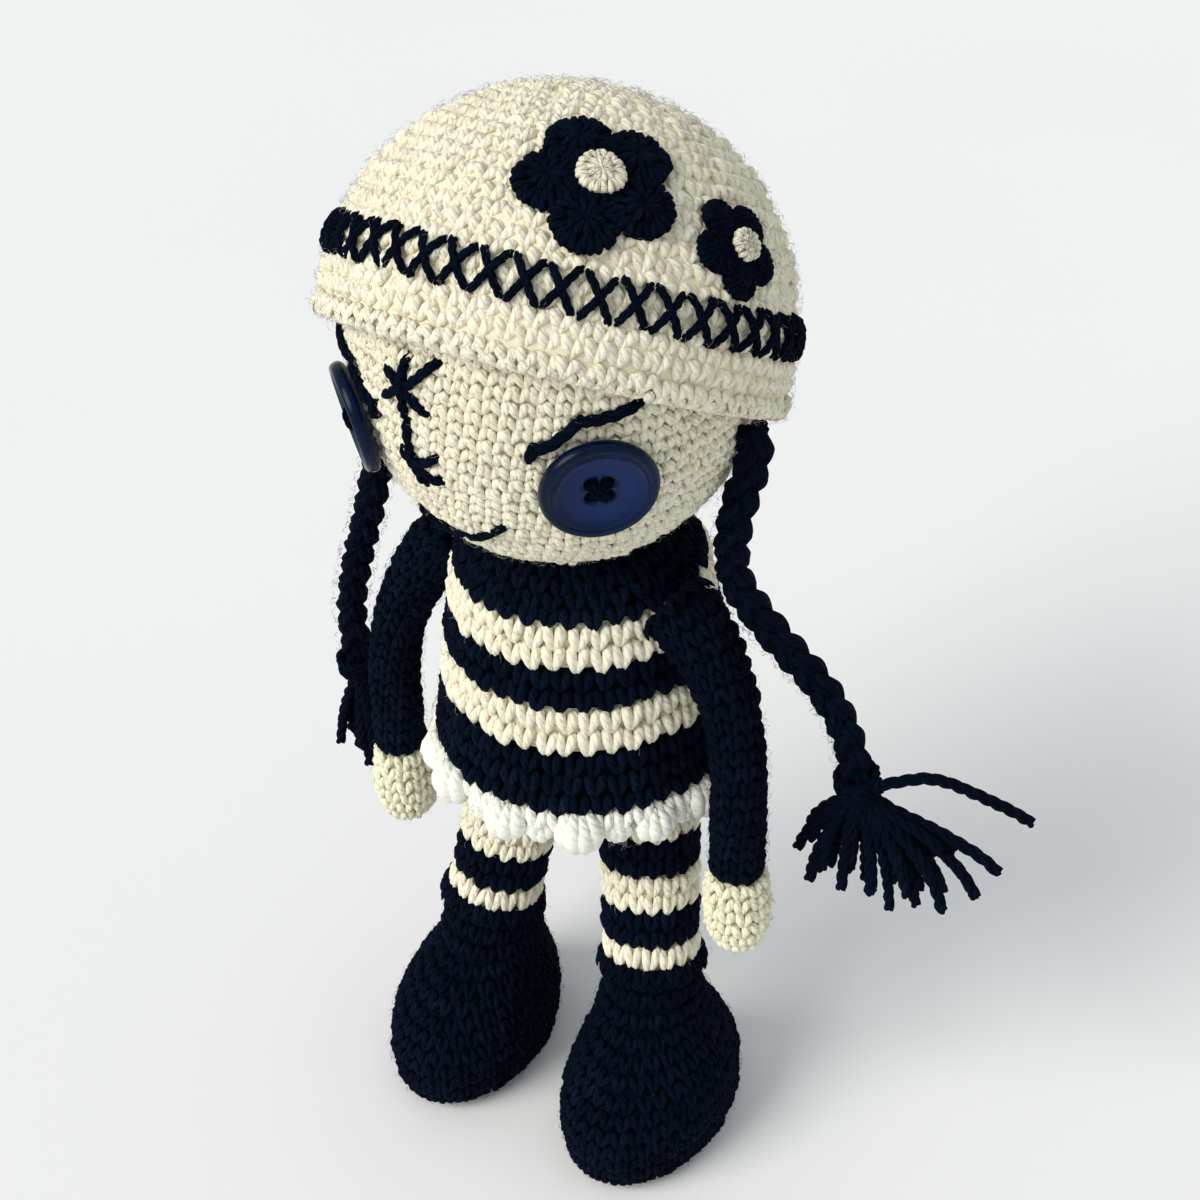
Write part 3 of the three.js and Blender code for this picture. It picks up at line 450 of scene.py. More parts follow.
class Patch:
    """A surface closed around, as rows of points from its low edge to its high edge. Its
    points run anticlockwise as seen from beyond the high edge."""

    def __init__(self, grid):
        self.grid = np.asarray(grid, float)
        steps = np.linalg.norm(np.diff(self.grid, axis=0), axis=2).mean(axis=1)
        self.run = np.concatenate([[0], np.cumsum(steps)])

    def row(self, at):
        v = float(np.interp(at, self.run, np.arange(len(self.run))))
        first = min(int(v), len(self.grid) - 2)
        return self.grid[first] + (self.grid[first + 1] - self.grid[first]) * (v - first)

    def at_height(self, height):
        return float(np.interp(height, self.grid[..., 2].mean(axis=1), self.run))

    def frames(self, at, count, phase):
        """Places and directions of count even steps round the surface."""
        ring = self.row(at)
        size = len(ring)
        steps = runs(closed_loop(ring))
        want = steps[-1] * ((np.arange(count) + phase) / count % 1.0)
        index = np.interp(want, steps, np.arange(size + 1))

        def sample(points, where):
            where = where % size
            first = where.astype(int) % size
            share = (where - np.floor(where))[:, None]
            return points[first] * (1 - share) + points[(first + 1) % size] * share

        nudge = min(1.2, self.run[-1] / 8)
        rise = sample(self.row(min(at + nudge, self.run[-1])), index) \
            - sample(self.row(max(at - nudge, 0.0)), index)
        across = unit(sample(ring, index + 0.6) - sample(ring, index - 0.6))
        up = unit(rise)
        up = unit(up - across * (up * across).sum(axis=1)[:, None])
        return sample(ring, index), across, up, np.cross(across, up), steps[-1] / count

    def backing(self, heap, inset, every=1):
        """A closed skin under the stitches, in the darker default tint that paints shade into the gaps
        between them.
        """
        grid = self.grid[::every]
        ahead = np.roll(grid, -1, axis=1) - np.roll(grid, 1, axis=1)
        normals = unit(np.cross(ahead, np.gradient(grid, axis=0)))
        heap.add_skin(grid - normals * inset)


def lobe_template(sides, mirror):
    """One lobe of a stitch, in stitch widths: narrow at its foot, full near its top."""
    path = np.array([[0.01, -0.82, -0.24], [0.065, -0.56, 0.04], [0.155, -0.26, 0.17], [0.245, 0.04, 0.19],
                     [0.3, 0.3, 0.06], [0.285, 0.47, -0.16]])
    if mirror:
        path = path * [-1, 1, 1]
    heap = Heap()
    tube(heap, path, [0.05, 0.135, 0.205, 0.26, 0.25, 0.14], first=(1, 0, 0.4), sides=sides)
    return heap.points[0], (heap.corners[0], heap.sizes[0]), heap.uvs[0]


LOBES = {sides: [lobe_template(sides, mirror) for mirror in (False, True)] for sides in (5, 6)}


# How far stitches lean and how much their lean, size, place, lift and fullness vary, as shares
# of a stitch, and how much the tint of a stitch and of each of its lobes varies
LEAN, LEAN_SPREAD, SIZE_SPREAD = 0.06, 0.07, 0.045
PLACE_SPREAD, LIFT_SPREAD, FULL_SPREAD = 0.045, 0.035, 0.06
SHADE_SPREAD, LOBE_SHADE_SPREAD = 0.035, 0.02


def lay_stitches(heap, places, across, up, normal, width, height, sides, depth, plump, rough):
    """Stitches at places. Each is a pair of lobes whose feet point down its column."""
    count = len(places)
    lean = rng.normal(LEAN, LEAN_SPREAD * rough, count)
    size = 1 + rng.normal(0, SIZE_SPREAD * rough, (count, 2))
    places = places + across * (rng.normal(0, PLACE_SPREAD * rough, count) * width)[:, None] \
        + up * (rng.normal(0, PLACE_SPREAD * rough, count) * height)[:, None] \
        + normal * (rng.normal(0, LIFT_SPREAD * rough, count) * width)[:, None]
    shade = rng.normal(0, SHADE_SPREAD, count)
    for points, template, uvs in LOBES[sides]:
        slack = 1 + rng.normal(0, FULL_SPREAD * rough, count)
        x, y, z = (points * [plump, 1, depth]).T
        local_x = width * size[:, :1] * x + height * lean[:, None] * y
        local_y = height * size[:, 1:] * y
        local_z = width * slack[:, None] * z
        made = places[:, None] + across[:, None] * local_x[..., None] \
            + up[:, None] * local_y[..., None] + normal[:, None] * local_z[..., None]
        # Painted shade and highlight: each lobe's colour darkens where it dives into the fabric and
        # lightens a little on its top.
        painted_depth_shade = np.interp(points[:, 2], [-0.35, 0.1, 0.4], [-0.09, 0.0, 0.03])
        tint = 0.5 + shade[:, None] + painted_depth_shade + rng.normal(0, LOBE_SHADE_SPREAD, (count, 1))
        shifts = rng.uniform(0, 1, (count, 1, 2))
        heap.add_copies(made, template, (uvs * [1, width] + shifts).reshape(-1, 2), tint.reshape(-1))


def crochet(heaps, patch, start, end, row_height, stitch_width, inset=0.9, group=1, phase=0.0,
            drift=0.07, sides=6, choose=None, plump=1.0, fuzz=None, fuzz_share=0.6, rough=1.0, depth=1.0):
    """Rows of stitches on a patch from one run to another. choose picks each stitch's heap
    from its place; group is how many stitches each round may gain or lose at once."""
    rows = max(1, round((end - start) / row_height))
    height = (end - start) / rows
    for j in range(rows):
        at = start + (j + 0.5) * height
        ring = patch.row(at)
        girth = steps_of(closed_loop(ring)).sum()
        count = max(5, group * round(girth / stitch_width / group))
        places, *directions, width = patch.frames(at, count, phase + drift * j)
        places = places - directions[2] * inset
        targets = np.zeros(count, int) if choose is None else choose(places)
        for k, heap in enumerate(heaps):
            picked = targets == k
            if picked.any():
                chosen = [direction[picked] for direction in directions]
                lay_stitches(heap, places[picked], *chosen, width, height, sides, depth, plump, rough)
        if fuzz is not None:
            lay_fuzz(fuzz, places, *directions, width, fuzz_share, inset)
    return phase + drift * rows


def knit(piece, replaced, slot, body, patch, *rows, fill=0.9, every=1, floor=None, **looks):
    """A piece of its own: rows of stitches on a patch over a closed skin."""
    heap = Heap()
    crochet([heap], patch, *rows, **looks)
    patch.backing(heap, 1.0, every=every)
    heap.build(piece, slot, body, [replaced], fill=fill, floor=floor)


# Loose fibres: the ranges of their reach, rise and tint, how far they bend and how high they start. Their
# tints lie above a stitch's 0.5, so the fibres come out lighter than the yarn: painted sheen.
FIBRE_REACH, FIBRE_RISE, FIBRE_SHEEN_TINTS = (0.8, 3.4), (0.25, 1.3), (0.55, 0.95)
FIBRE_BEND, FIBRE_ROOT = 0.8, 0.25
# Shares of a fibre's reach, rise and bend from its root to its tip, and its radii there
FIBRE_PATH = ((0, 0, 0), (0.35, 0.8, 0.3), (0.75, 1.1, 0.9), (1, 0.8, 1.6))
FIBRE_RADII = np.array([0.045, 0.04, 0.032, 0.018])
FIBRE_SIDES = 3


def lay_fuzz(heap, places, across, up, normal, width, share, inset):
    """Loose fibres that stand off the yarn, thin closed hairs bent over the surface."""
    count = round(share * len(places) * FUZZ)
    picked = rng.integers(0, len(places), count)
    p, t, u, n = places[picked], across[picked], up[picked], normal[picked]
    turn = rng.uniform(0, 2 * np.pi, count)
    heading = spokes(t, u, turn)
    root = p + t * rng.uniform(-0.4, 0.4, (count, 1)) * width \
        + u * rng.uniform(-0.4, 0.4, (count, 1)) * width + n * (inset + FIBRE_ROOT)
    reach = rng.uniform(*FIBRE_REACH, (count, 1)) * rng.uniform(0.6, 1.0, (count, 1))
    rise = rng.uniform(*FIBRE_RISE, (count, 1))
    bend = rng.uniform(-FIBRE_BEND, FIBRE_BEND, (count, 1))
    side = np.cross(n, heading)
    path = np.stack([root + heading * reach * a + n * rise * b + side * bend * c
                     for a, b, c in FIBRE_PATH], 1)
    ring = spokes(side[:, None, None], n[:, None, None], round_turns(FIBRE_SIDES))
    points = path[:, :, None] + ring * FIBRE_RADII[:, None, None]
    size = len(FIBRE_PATH) * FIBRE_SIDES
    corners, sizes, uvs = ring_faces(len(FIBRE_PATH), FIBRE_SIDES)
    tints = np.repeat(rng.uniform(*FIBRE_SHEEN_TINTS, count), size)
    heap.add_copies(points.reshape(count, size, 3), (corners, sizes), np.tile(uvs, (count, 1)), tints)


# Loose fibres are gathered for each body and colour, in the order in which they are built
FIBRES = {key: Heap() for key in (
    "head_cream", "cap_cream", "cap_black", "body_black", "body_cream", "body_white",
    "arm_left_black", "arm_left_hand", "arm_right_black", "arm_right_hand",
    "leg_left_black", "leg_left_cream", "leg_right_black", "leg_right_cream")}


# Head and cap

CAP_TURN = math.radians(CAP_TILT)
CAP_AXIS = np.array([0.0, math.sin(CAP_TURN), math.cos(CAP_TURN)])
CAP_SIDE = np.array([1.0, 0.0, 0.0])
CAP_BACK = np.cross(CAP_AXIS, CAP_SIDE)
CAP_PLANE = -CAP_DROP * CAP_AXIS[2]


def cap_surface(depth):
    """The sizes of the cap's surface at a depth into its wall from the inside."""
    return HEAD_RADIUS + (CAP_EASE + depth), HEAD_BELOW + (CAP_EASE + depth), HEAD_ABOVE + (FIT + depth)


CAP_INNER, CAP_MIDDLE, CAP_OUTER = (cap_surface(depth) for depth in (0.0, CAP_WALL / 2, CAP_WALL))


def facing(degrees):
    """The level direction at an angle from the doll's front towards its left."""
    turn = np.radians(degrees)
    return np.stack([np.sin(turn), -np.cos(turn), np.zeros_like(turn)], -1)


def ball_radius(surface, height):
    """How far out a surface of the head or the cap is at a height from the head's middle."""
    height = np.asarray(height, float)
    share = np.where(height < 0, -height / surface[1], height / surface[2])
    power = np.where(height < 0, HEAD_POWER, 2.0)
    return surface[0] * np.maximum(0.0, 1 - np.clip(share, 0, 1) ** power) ** (1 / power)


def off_head(degrees, height, proud):
    """A place over the head, counted from the head's middle, and the direction out of it."""
    step = HEAD_RADIUS / 100
    out = facing(degrees)
    here = ball_radius(HEAD, height)
    slope = (ball_radius(HEAD, height + step) - ball_radius(HEAD, height - step)) / (2 * step)
    normal = unit(out - UP * np.asarray(slope)[..., None])
    place = out * np.asarray(here)[..., None] + UP * np.asarray(height)[..., None]
    return place + normal * proud, normal


def head_patch(layers=90, around=120):
    turn = np.linspace(-np.pi / 2 * 0.985, np.pi / 2 * 0.985, layers)
    height = np.sin(turn) * np.where(turn < 0, HEAD_BELOW, HEAD_ABOVE)
    return Patch(level_rings(ball_radius(HEAD, height), height, around) + HEAD_CENTRE)


def cap_point(surface, angle, polar):
    """A place on a cap surface at an angle round the cap's axis and off that axis."""
    d = spokes(CAP_SIDE, CAP_BACK, angle) * np.sin(polar)[..., None] + CAP_AXIS * np.cos(polar)[..., None]
    level = np.linalg.norm(d[..., :2], axis=-1)
    below = d[..., 2] < 0
    power = np.where(below, HEAD_POWER, 2.0)
    tall = np.where(below, surface[1], surface[2])
    reach = ((level / surface[0]) ** power + (np.abs(d[..., 2]) / tall) ** power) ** (-1 / power)
    return d * reach[..., None]


def cap_polar(surface, angle, lift):
    """How far off the cap's axis a surface meets a plane parallel to the rim."""
    low = np.zeros_like(angle)
    high = np.full_like(angle, math.pi * 0.8)
    for _ in range(30):
        middle = (low + high) / 2
        above = cap_point(surface, angle, middle) @ CAP_AXIS > CAP_PLANE + lift
        low = np.where(above, middle, low)
        high = np.where(above, high, middle)
    return low


def cap_patch(surface, lift, layers=70, around=120):
    """A surface of the cap from its edge, at a lift over the rim's plane, to its top."""
    angle = round_turns(around)
    edge = cap_polar(surface, angle, lift)
    share = np.linspace(1, 0.02, layers)[:, None]
    grid = cap_point(surface, np.repeat(angle[None], layers, 0), edge * share)
    return Patch(grid + HEAD_CENTRE)


def rim_patch(around=120):
    """The rolled edge of the cap, from its inner side under it to its outer side."""
    angle = round_turns(around)
    centre = cap_point(CAP_MIDDLE, angle, cap_polar(CAP_MIDDLE, angle, RIM_RADIUS / 2))
    out = unit(centre - CAP_AXIS * (centre @ CAP_AXIS)[:, None])
    tilt = np.radians(np.linspace(-215, 40, 30))[:, None]
    return Patch(centre + RIM_RADIUS * spokes(out, CAP_AXIS, tilt) + HEAD_CENTRE)


# How far over the rim's plane the head's crown and the cap's two surfaces start
CROWN_LIFT, OUTER_LIFT, INNER_LIFT = 7, 4.2, 3.0


def make_head():
    """The head's skin in two pieces: the face, and the crown under the cap."""
    patch = head_patch()
    face, crown = Heap(), Heap()

    def under_cap(places):
        return ((places - HEAD_CENTRE) @ CAP_AXIS > CAP_PLANE + CROWN_LIFT).astype(int)

    crochet([face, crown], patch, 1.2, patch.run[-1] - 1.2, HEAD_ROW, HEAD_STITCH, inset=0.8,
            group=6, choose=under_cap, fuzz=FIBRES["head_cream"], fuzz_share=0.9, drift=0.17,
            plump=1.2, rough=1.3, depth=0.9)
    patch.backing(face, 1.0, every=2)
    face.build("head_skin", "cream_yarn", "head", ["head_shell"], fill=0.9)
    crown.build("head_crown", "cream_yarn", "head", fill=0.9)


def make_cap():
    outer, inner, rim = cap_patch(CAP_OUTER, OUTER_LIFT), cap_patch(CAP_INNER, INNER_LIFT), rim_patch()
    fuzz = FIBRES["cap_cream"]
    cap = Heap()
    crochet([cap], outer, 0.0, outer.run[-1] - 0.5, CAP_ROW, CAP_STITCH, inset=1.45, group=6,
            fuzz=fuzz, fuzz_share=1.1, drift=0.17, plump=1.2, rough=1.4, depth=0.9)
    crochet([cap], rim, 0.0, rim.run[-1], RIM_ROW, RIM_STITCH, inset=0.75, fuzz=fuzz,
            fuzz_share=1.2, plump=1.3, rough=1.5, depth=0.6)
    shell = np.concatenate([inner.grid[::-2], rim.grid[::2], outer.grid[::2]])
    Patch(shell).backing(cap, 0.9)
    cap.build("cap_knit", "cream_yarn", "cap", ["cap"], fill=0.5)
    lining = Heap()
    flipped = Patch(inner.grid[:, ::-1])
    crochet([lining], flipped, 1.0, inner.run[-1] - 0.5, CAP_ROW, CAP_STITCH, inset=1.3, group=6,
            sides=5, depth=0.8)
    lining.build("cap_lining", "cream_yarn", "cap")


def make_cap_border():
    """A row of crossed stitches round the cap."""
    heap = Heap()
    gap, knots = 0.06, 9
    proud = np.array([-1.4, 0.35, 0.9, 1.1, 1.15, 1.1, 0.9, 0.35, -1.4])
    for k in range(BORDER_TEETH * 2):
        for slope in (0, 1):
            heights = (BORDER_LOW, BORDER_HIGH) if (k + slope) % 2 else (BORDER_HIGH, BORDER_LOW)
            angle = np.radians(180.0 * np.linspace(k + gap, k + 1 - gap, knots) / BORDER_TEETH)
            lift = np.linspace(*heights, knots) + rng.normal(0, 0.25)
            place = cap_point(CAP_OUTER, angle, cap_polar(CAP_OUTER, angle, lift))
            path = place + unit(place) * (proud + 0.25 * slope)[:, None] + HEAD_CENTRE
            yarn(heap, through(path, 13), 1.0, tint=0.5 + rng.normal(0, 0.03))
    heap.build("cap_border", "black_yarn", "cap", ["cap_cross_stitches"])


# Each flower's angle, height as a share of the cap's, radius and middle's radius
FLOWERS = {"flower_large": (54.0, 0.86, 18.0, 5.2), "flower_small": (88.0, 0.53, 11.5, 3.6)}
PETAL_SHARE, PETAL_THICK = 0.42, 3.0


def make_flower(name, degrees, height_share, radius, middle_radius):
    """Five round petals of crochet round a cream button of crochet."""
    height = height_share * CAP_OUTER[2]
    centre = facing(degrees) * ball_radius(CAP_OUTER, height) + np.array([0, 0, height])
    across = facing(degrees + 90)
    along = np.cross(unit(centre), across)
    petal = radius * PETAL_SHARE
    fine = min(1, radius / 15)
    heap, middle = Heap(), Heap()

    def onto_cap(place):
        share = np.linalg.norm(place / [CAP_OUTER[0], CAP_OUTER[0], CAP_OUTER[2]], axis=-1)
        return place / share[..., None]

    def dab(target, at, size, thick, stitch, lift):
        out = unit(at)
        side = unit(across - out * np.dot(across, out))
        shares = np.linspace(0.1, 1.0, 12)
        flat = at + size * shares[:, None, None] * spokes(side, np.cross(out, side), round_turns(36))
        bulge = thick * np.sqrt(np.maximum(0, 1 - (shares * 0.98) ** 2))[:, None]
        ground = onto_cap(flat)
        grid = ground + unit(ground) * (bulge[..., None] + lift)
        patch = Patch(grid[:, ::-1] + HEAD_CENTRE)
        crochet([target], patch, 0.0, patch.run[-1] - 0.2, stitch, stitch, inset=0.5, plump=1.15,
                fuzz=FIBRES["cap_black"], fuzz_share=0.8)
        patch.backing(target, 0.5)

    for k in range(5):
        turn = 2 * np.pi * k / 5 + np.pi / 2
        at = onto_cap(centre + (radius - petal) * spokes(across, along, turn))
        dab(heap, at, petal, PETAL_THICK * 0.8, 3.4 * fine, 0.2)
    dab(heap, centre, petal * 0.9, PETAL_THICK * 0.9, 3.2 * fine, 0.2)
    dab(middle, centre, middle_radius, 1.6, 2.4, PETAL_THICK)
    heap.build(name + "_knit", "black_yarn", "cap", [name])
    middle.build(name + "_middle_knit", "cream_yarn", "cap", [name + "_middle"])


# Face. Each stitch's places are angles round the head and shares of its depth below its middle.

BROW = [[[24, -0.15], [25.2, -0.105]], [[25, -0.115], [30, -0.08], [37.5, 0.01]],
        [[36.5, 0.0], [45, 0.015], [53.5, 0.045]]]
MOUTH = [[[-23, -0.6], [-16, -0.65], [-7, -0.67], [-3, -0.655]], [[-4.5, -0.66], [3, -0.63], [15, -0.51]]]
SCAR = [[[-10, 0.18], [-11, 0.05], [-11.2, -0.1]], [[-11.2, -0.08], [-11, -0.26], [-9, -0.41]],
        [[1, 0.2], [-5, 0.12], [-10, 0.05]], [[-9, 0.07], [-14, 0.02], [-19, -0.03]],
        [[-18, 0.11], [-11, 0.05], [-3, -0.04]], [[-16, -0.24], [-10, -0.28], [-2, -0.22]],
        [[-14, -0.28], [-8, -0.31], [-2, -0.35]]]
BROW_THREAD, MOUTH_THREAD, SCAR_THREAD, SEWN_DEPTH = 1.4, 1.1, 1.2, 2.2


def sew(name, replaced, parts, radius, side=1):
    """Embroidered stitches. Each comes out of the head, lies on it and goes back in."""
    heap = Heap()
    dip = np.zeros(17)
    dip[:3] = [SEWN_DEPTH, SEWN_DEPTH * 0.45, 0.25]
    dip[-3:] = dip[2::-1]
    for part in parts:
        degrees, share = np.transpose(part)
        place, _ = off_head(side * degrees, share * HEAD_BELOW, radius * 0.75)
        path = through(place + HEAD_CENTRE, len(dip))
        path = path + unit(HEAD_CENTRE - path) * dip[:, None]
        yarn(heap, path, radius, tint=0.5 + rng.normal(0, 0.03), tip=0.8)
    heap.build(name, "black_yarn", "head", [replaced])


def lathe(heap, outline, axes, sides, tint=0.3):
    """A turned solid from radius and height pairs, placed by an origin and three axes."""
    origin, across, along, out = axes
    rings = np.array(outline, float)
    points = origin + rings[:, :1, None] * spokes(across, along, round_turns(sides)) \
        + rings[:, 1, None, None] * out
    heap.add_skin(points, tint=tint, uv_scale=(1, 1))


def cut_holes(button, axes, dish, top):
    """Four holes with rounded edges cut through a button."""
    origin, level, along, normal = axes
    rings = [(HOLE_RADIUS, -1.0), (HOLE_RADIUS, dish - 0.4), (HOLE_RADIUS + 0.12, dish - 0.05),
             (HOLE_RADIUS + 0.5, dish + 0.35), (HOLE_RADIUS + 0.5, top + 2)]
    cutters = []
    for k in range(4):
        turn = math.pi / 2 * k + math.pi / 4
        at = origin + HOLE_OFFSET * (level * math.cos(turn) + along * math.sin(turn))
        cut = Heap()
        lathe(cut, rings, (at, level, along, normal), 28)
        mesh = bpy.data.meshes.new("cutter")
        faces = np.split(cut.corners[0], np.cumsum(cut.sizes[0])[:-1])
        points = (cut.points[0] + SHIFT) * MM
        mesh.from_pydata(points.tolist(), [], [face.tolist() for face in faces])
        cutters.append(new_object("cutter", mesh))
        modifier = button.modifiers.new("hole", "BOOLEAN")
        modifier.operation = "DIFFERENCE"
        modifier.solver = "EXACT"
        modifier.object = cutters[-1]
    bpy.context.view_layer.update()
    done = bpy.data.meshes.new_from_object(button.evaluated_get(bpy.context.evaluated_depsgraph_get()))
    button.modifiers.clear()
    button.data = done
    for cutter in cutters:
        bpy.data.objects.remove(cutter)


def make_button(side, name):
    """A button with a raised rim round a dish, and the crossed threads through its holes."""
    place, normal = off_head(side * EYE_ANGLE, -EYE_DROP, FIT)
    level = facing(side * EYE_ANGLE + 90)
    axes = (place + HEAD_CENTRE, level, np.cross(normal, level), normal)
    inner, top, dish = BUTTON_RADIUS - BUTTON_RIM, BUTTON_THICK, BUTTON_THICK - BUTTON_DISH
    edge = [(0.86, 0.0), (0.94, 0.35), (0.985, 1.0), (1.0, 1.7), (0.995, 2.4), (0.975, 3.1),
            (0.945, 3.6), (0.915, top)]
    bowl = [(1.0, top - 0.02), (0.62, top - 0.12), (0.45, top - 0.4), (0.2, top - 0.42), (0.0, top - 0.3),
            (-0.25, top - 0.34), (-0.7, dish + 0.55), (-1.5, dish + 0.2), (-3.0, dish)]
    outline = [(0.3, 0.02)] + [(BUTTON_RADIUS * share, height) for share, height in edge] \
        + [(inner + out, height) for out, height in bowl] \
        + [(HOLE_OFFSET + HOLE_RADIUS + 0.9, dish), (0.3, dish)]
    # The button's tint runs from violet in the dish to blue-black at the rim's edge. The darker ring in the
    # groove between dish and rim is painted shade, and the 0.1 that the tint rises on one side and falls on
    # the other is a painted reflection.
    tone_and_painted_shade = np.interp([r for r, _ in outline], [0, 7, 10.4, 10.7, 11.4, 13.4],
                       [0.92, 0.82, 0.5, 0.25, 0.42, 0.12])
    sides = 96
    heap = Heap()
    lathe(heap, outline, axes, sides, (tone_and_painted_shade[:, None] + 0.1 * np.cos(round_turns(sides))).reshape(-1))
    button = heap.build("button_" + name, "button_plastic", "head", ["eye_button_" + name])
    cut_holes(button, axes, dish, top)
    make_button_thread(name, axes, dish)


def make_button_thread(name, axes, dish):
    origin, level, along, normal = axes
    at = np.array([-1.0, -0.98, -0.8, -0.4, 0, 0.4, 0.8, 0.98, 1.0])
    rise = np.array([-3.4, -1.2, 0.35, 0.8, 0.9, 0.8, 0.35, -1.2, -3.4])
    reach, apart, thick = HOLE_OFFSET + 0.1, 0.55, 0.72
    thread = Heap()
    for slope, lift in ((1, 0.0), (-1, 0.75)):
        across = unit(level + along * slope)
        aside = np.cross(normal, across)
        for shift in (-apart, apart):
            path = origin + across * (at * reach)[:, None] + aside * shift \
                + normal * (dish + rise + lift * (rise > 0))[:, None]
            yarn(thread, through(path, 21), thick)
    thread.build("thread_" + name, "black_yarn", "head", ["button_thread_" + name])


# Torso, dress and hem

def dress_radius(heights):
    """The dress's radius at heights, and how far up the yoke each height is."""
    yoke = np.maximum(0.0, (heights - YOKE_BOTTOM) / YOKE)
    skirt = np.maximum(0.0, (YOKE_BOTTOM - heights) / (YOKE_BOTTOM - HEM_BOTTOM))
    bend = 2 * YOKE_MIDDLE_RADIUS - (DRESS_TOP_RADIUS + YOKE_TOP_RADIUS) / 2
    upper = DRESS_TOP_RADIUS * (1 - yoke) ** 2 + 2 * bend * yoke * (1 - yoke) + YOKE_TOP_RADIUS * yoke ** 2
    lower = DRESS_TOP_RADIUS + (DRESS_HEM_RADIUS - DRESS_TOP_RADIUS) * skirt
    return np.where(yoke > 0, upper, lower), yoke


def dress_grid(heights, inset=0.0, around=96):
    heights = np.asarray(heights, float)
    radius, yoke = dress_radius(heights)
    grid = level_rings(radius - inset, heights, around)
    grid[..., 1] -= NECK_FORWARD * yoke[:, None]
    return grid


def add_wall(heap, heights, inner, outer):
    """A closed skin between two insets from the dress's surface, in the darker default tint as painted
    shade under the stitches.
    """
    walls = np.concatenate([dress_grid(heights, inner)[::-1], dress_grid(heights, outer)])
    heap.add_skin(walls, closed=True)


def make_dress():
    """The dress's bands, from the lowest up."""
    outer = Patch(dress_grid(np.linspace(HEM_BOTTOM, TORSO_TOP - FIT, 140)))
    edges = [BLACK_TWO_BOTTOM, CREAM_TWO_BOTTOM, BLACK_ONE_BOTTOM, CREAM_ONE_BOTTOM, YOKE_BOTTOM,
             TORSO_TOP - FIT]
    phase = 0.0
    for k, band in enumerate(("black_lower", "cream_lower", "black_upper", "cream_upper", "yoke")):
        bottom, top = edges[k:k + 2]
        colour = "cream" if band.startswith("cream") else "black"
        row, group = (YOKE_ROW, 4) if band == "yoke" else (DRESS_ROW, 2)
        heap = Heap()
        phase = crochet([heap], outer, outer.at_height(bottom), outer.at_height(top), row, DRESS_STITCH,
                        inset=1.0, group=group, phase=phase, fuzz=FIBRES["body_" + colour],
                        fuzz_share=1.6, drift=0.08)
        add_wall(heap, np.linspace(bottom, top, 8), DRESS_WALL - 0.4, 1.4)
        heap.build("dress_" + band + "_knit", colour + "_yarn", "body", ["dress_" + band])


PUFF_COUNT, PUFF_HALF_WIDTH, PUFF_HEIGHT, PUFF_STRAND = 28, 3.2, 10.4, 2.25
PUFF_TAPER = np.array([0.6, 0.92, 1.06, 1.08, 1.0, 0.86, 0.66, 0.4])
HEM_RADIUS = DRESS_HEM_RADIUS - DRESS_WALL / 2


def add_puff(heap, k):
    """One puff of the hem: four strands fanned over a core. Every other puff is slimmer."""
    slim = k % 2
    full = (0.8 if slim else 1.06) * (1 + rng.normal(0, 0.09))
    middle = facing(360.0 * k / PUFF_COUNT + rng.normal(0, 1.5))
    aside = np.array([-middle[1], middle[0], 0.0])
    base = HEM_BOTTOM + rng.uniform(0.1, 0.9) + slim
    lean = rng.normal(0, 0.5)
    climb = np.linspace(0, 1, len(PUFF_TAPER))
    for share in (-1.0, -0.36, 0.36, 1.0):
        bulge = 1 - 0.42 * share * share
        out = HEM_RADIUS - 2.2 + full * (1.2 + 3.6 * bulge * np.sin(np.pi * (0.1 + 0.82 * climb)) ** 0.8)
        fan = full * PUFF_HALF_WIDTH * share * (0.4 + 0.62 * np.sin(np.pi * (0.12 + 0.72 * climb)))
        rise = base + full * PUFF_HEIGHT * (0.08 + 0.92 * climb) + 0.9 * abs(share) * (1 - climb)
        path = middle * out[:, None] + aside * (fan + lean * climb)[:, None] + UP * rise[:, None]
        path += rng.normal(0, 0.16, path.shape)
        radius = PUFF_STRAND * full * PUFF_TAPER * (1 + rng.normal(0, 0.06))
        tube(heap, path, radius, first=aside, sides=9, tint=0.5 + rng.normal(0, 0.04))
    # The core under the strands is tinted 0.42, darker than the strands' 0.5, as painted shade between
    # them.
    core = middle * (HEM_RADIUS - 0.6) + UP * (base + PUFF_HEIGHT * np.array([0.15, 0.5, 0.85]))[:, None]
    tube(heap, core, [1.6, 2.6, 1.4], first=aside, sides=8, tint=0.42)
    spots = middle * (HEM_RADIUS + 2.2) + aside * rng.normal(0, 1.6, (6, 1)) \
        + UP * (base + rng.uniform(1.5, 7.0, (6, 1)))
    lay_fuzz(FIBRES["body_white"], spots, *(np.tile(way, (6, 1)) for way in (aside, UP, middle)),
             3.0, 0.9, 0.0)


def make_hem():
    """One round of white stitches, and on it a round of puffs."""
    heap = Heap()
    band = Patch(dress_grid(np.linspace(HEM_BOTTOM + 3.0, BLACK_TWO_BOTTOM + 1.2, 12)))
    crochet([heap], band, band.run[-1] - 6.0, band.run[-1], DRESS_ROW, DRESS_STITCH, inset=0.8,
            fuzz=FIBRES["body_white"], fuzz_share=1.2, group=2)
    for k in range(PUFF_COUNT):
        add_puff(heap, k)
    add_wall(heap, np.linspace(HEM_BOTTOM + 3.2, BLACK_TWO_BOTTOM, 5), DRESS_WALL, 1.5)
    heap.build("hem_puffs", "white_yarn", "body", ["dress_hem"])


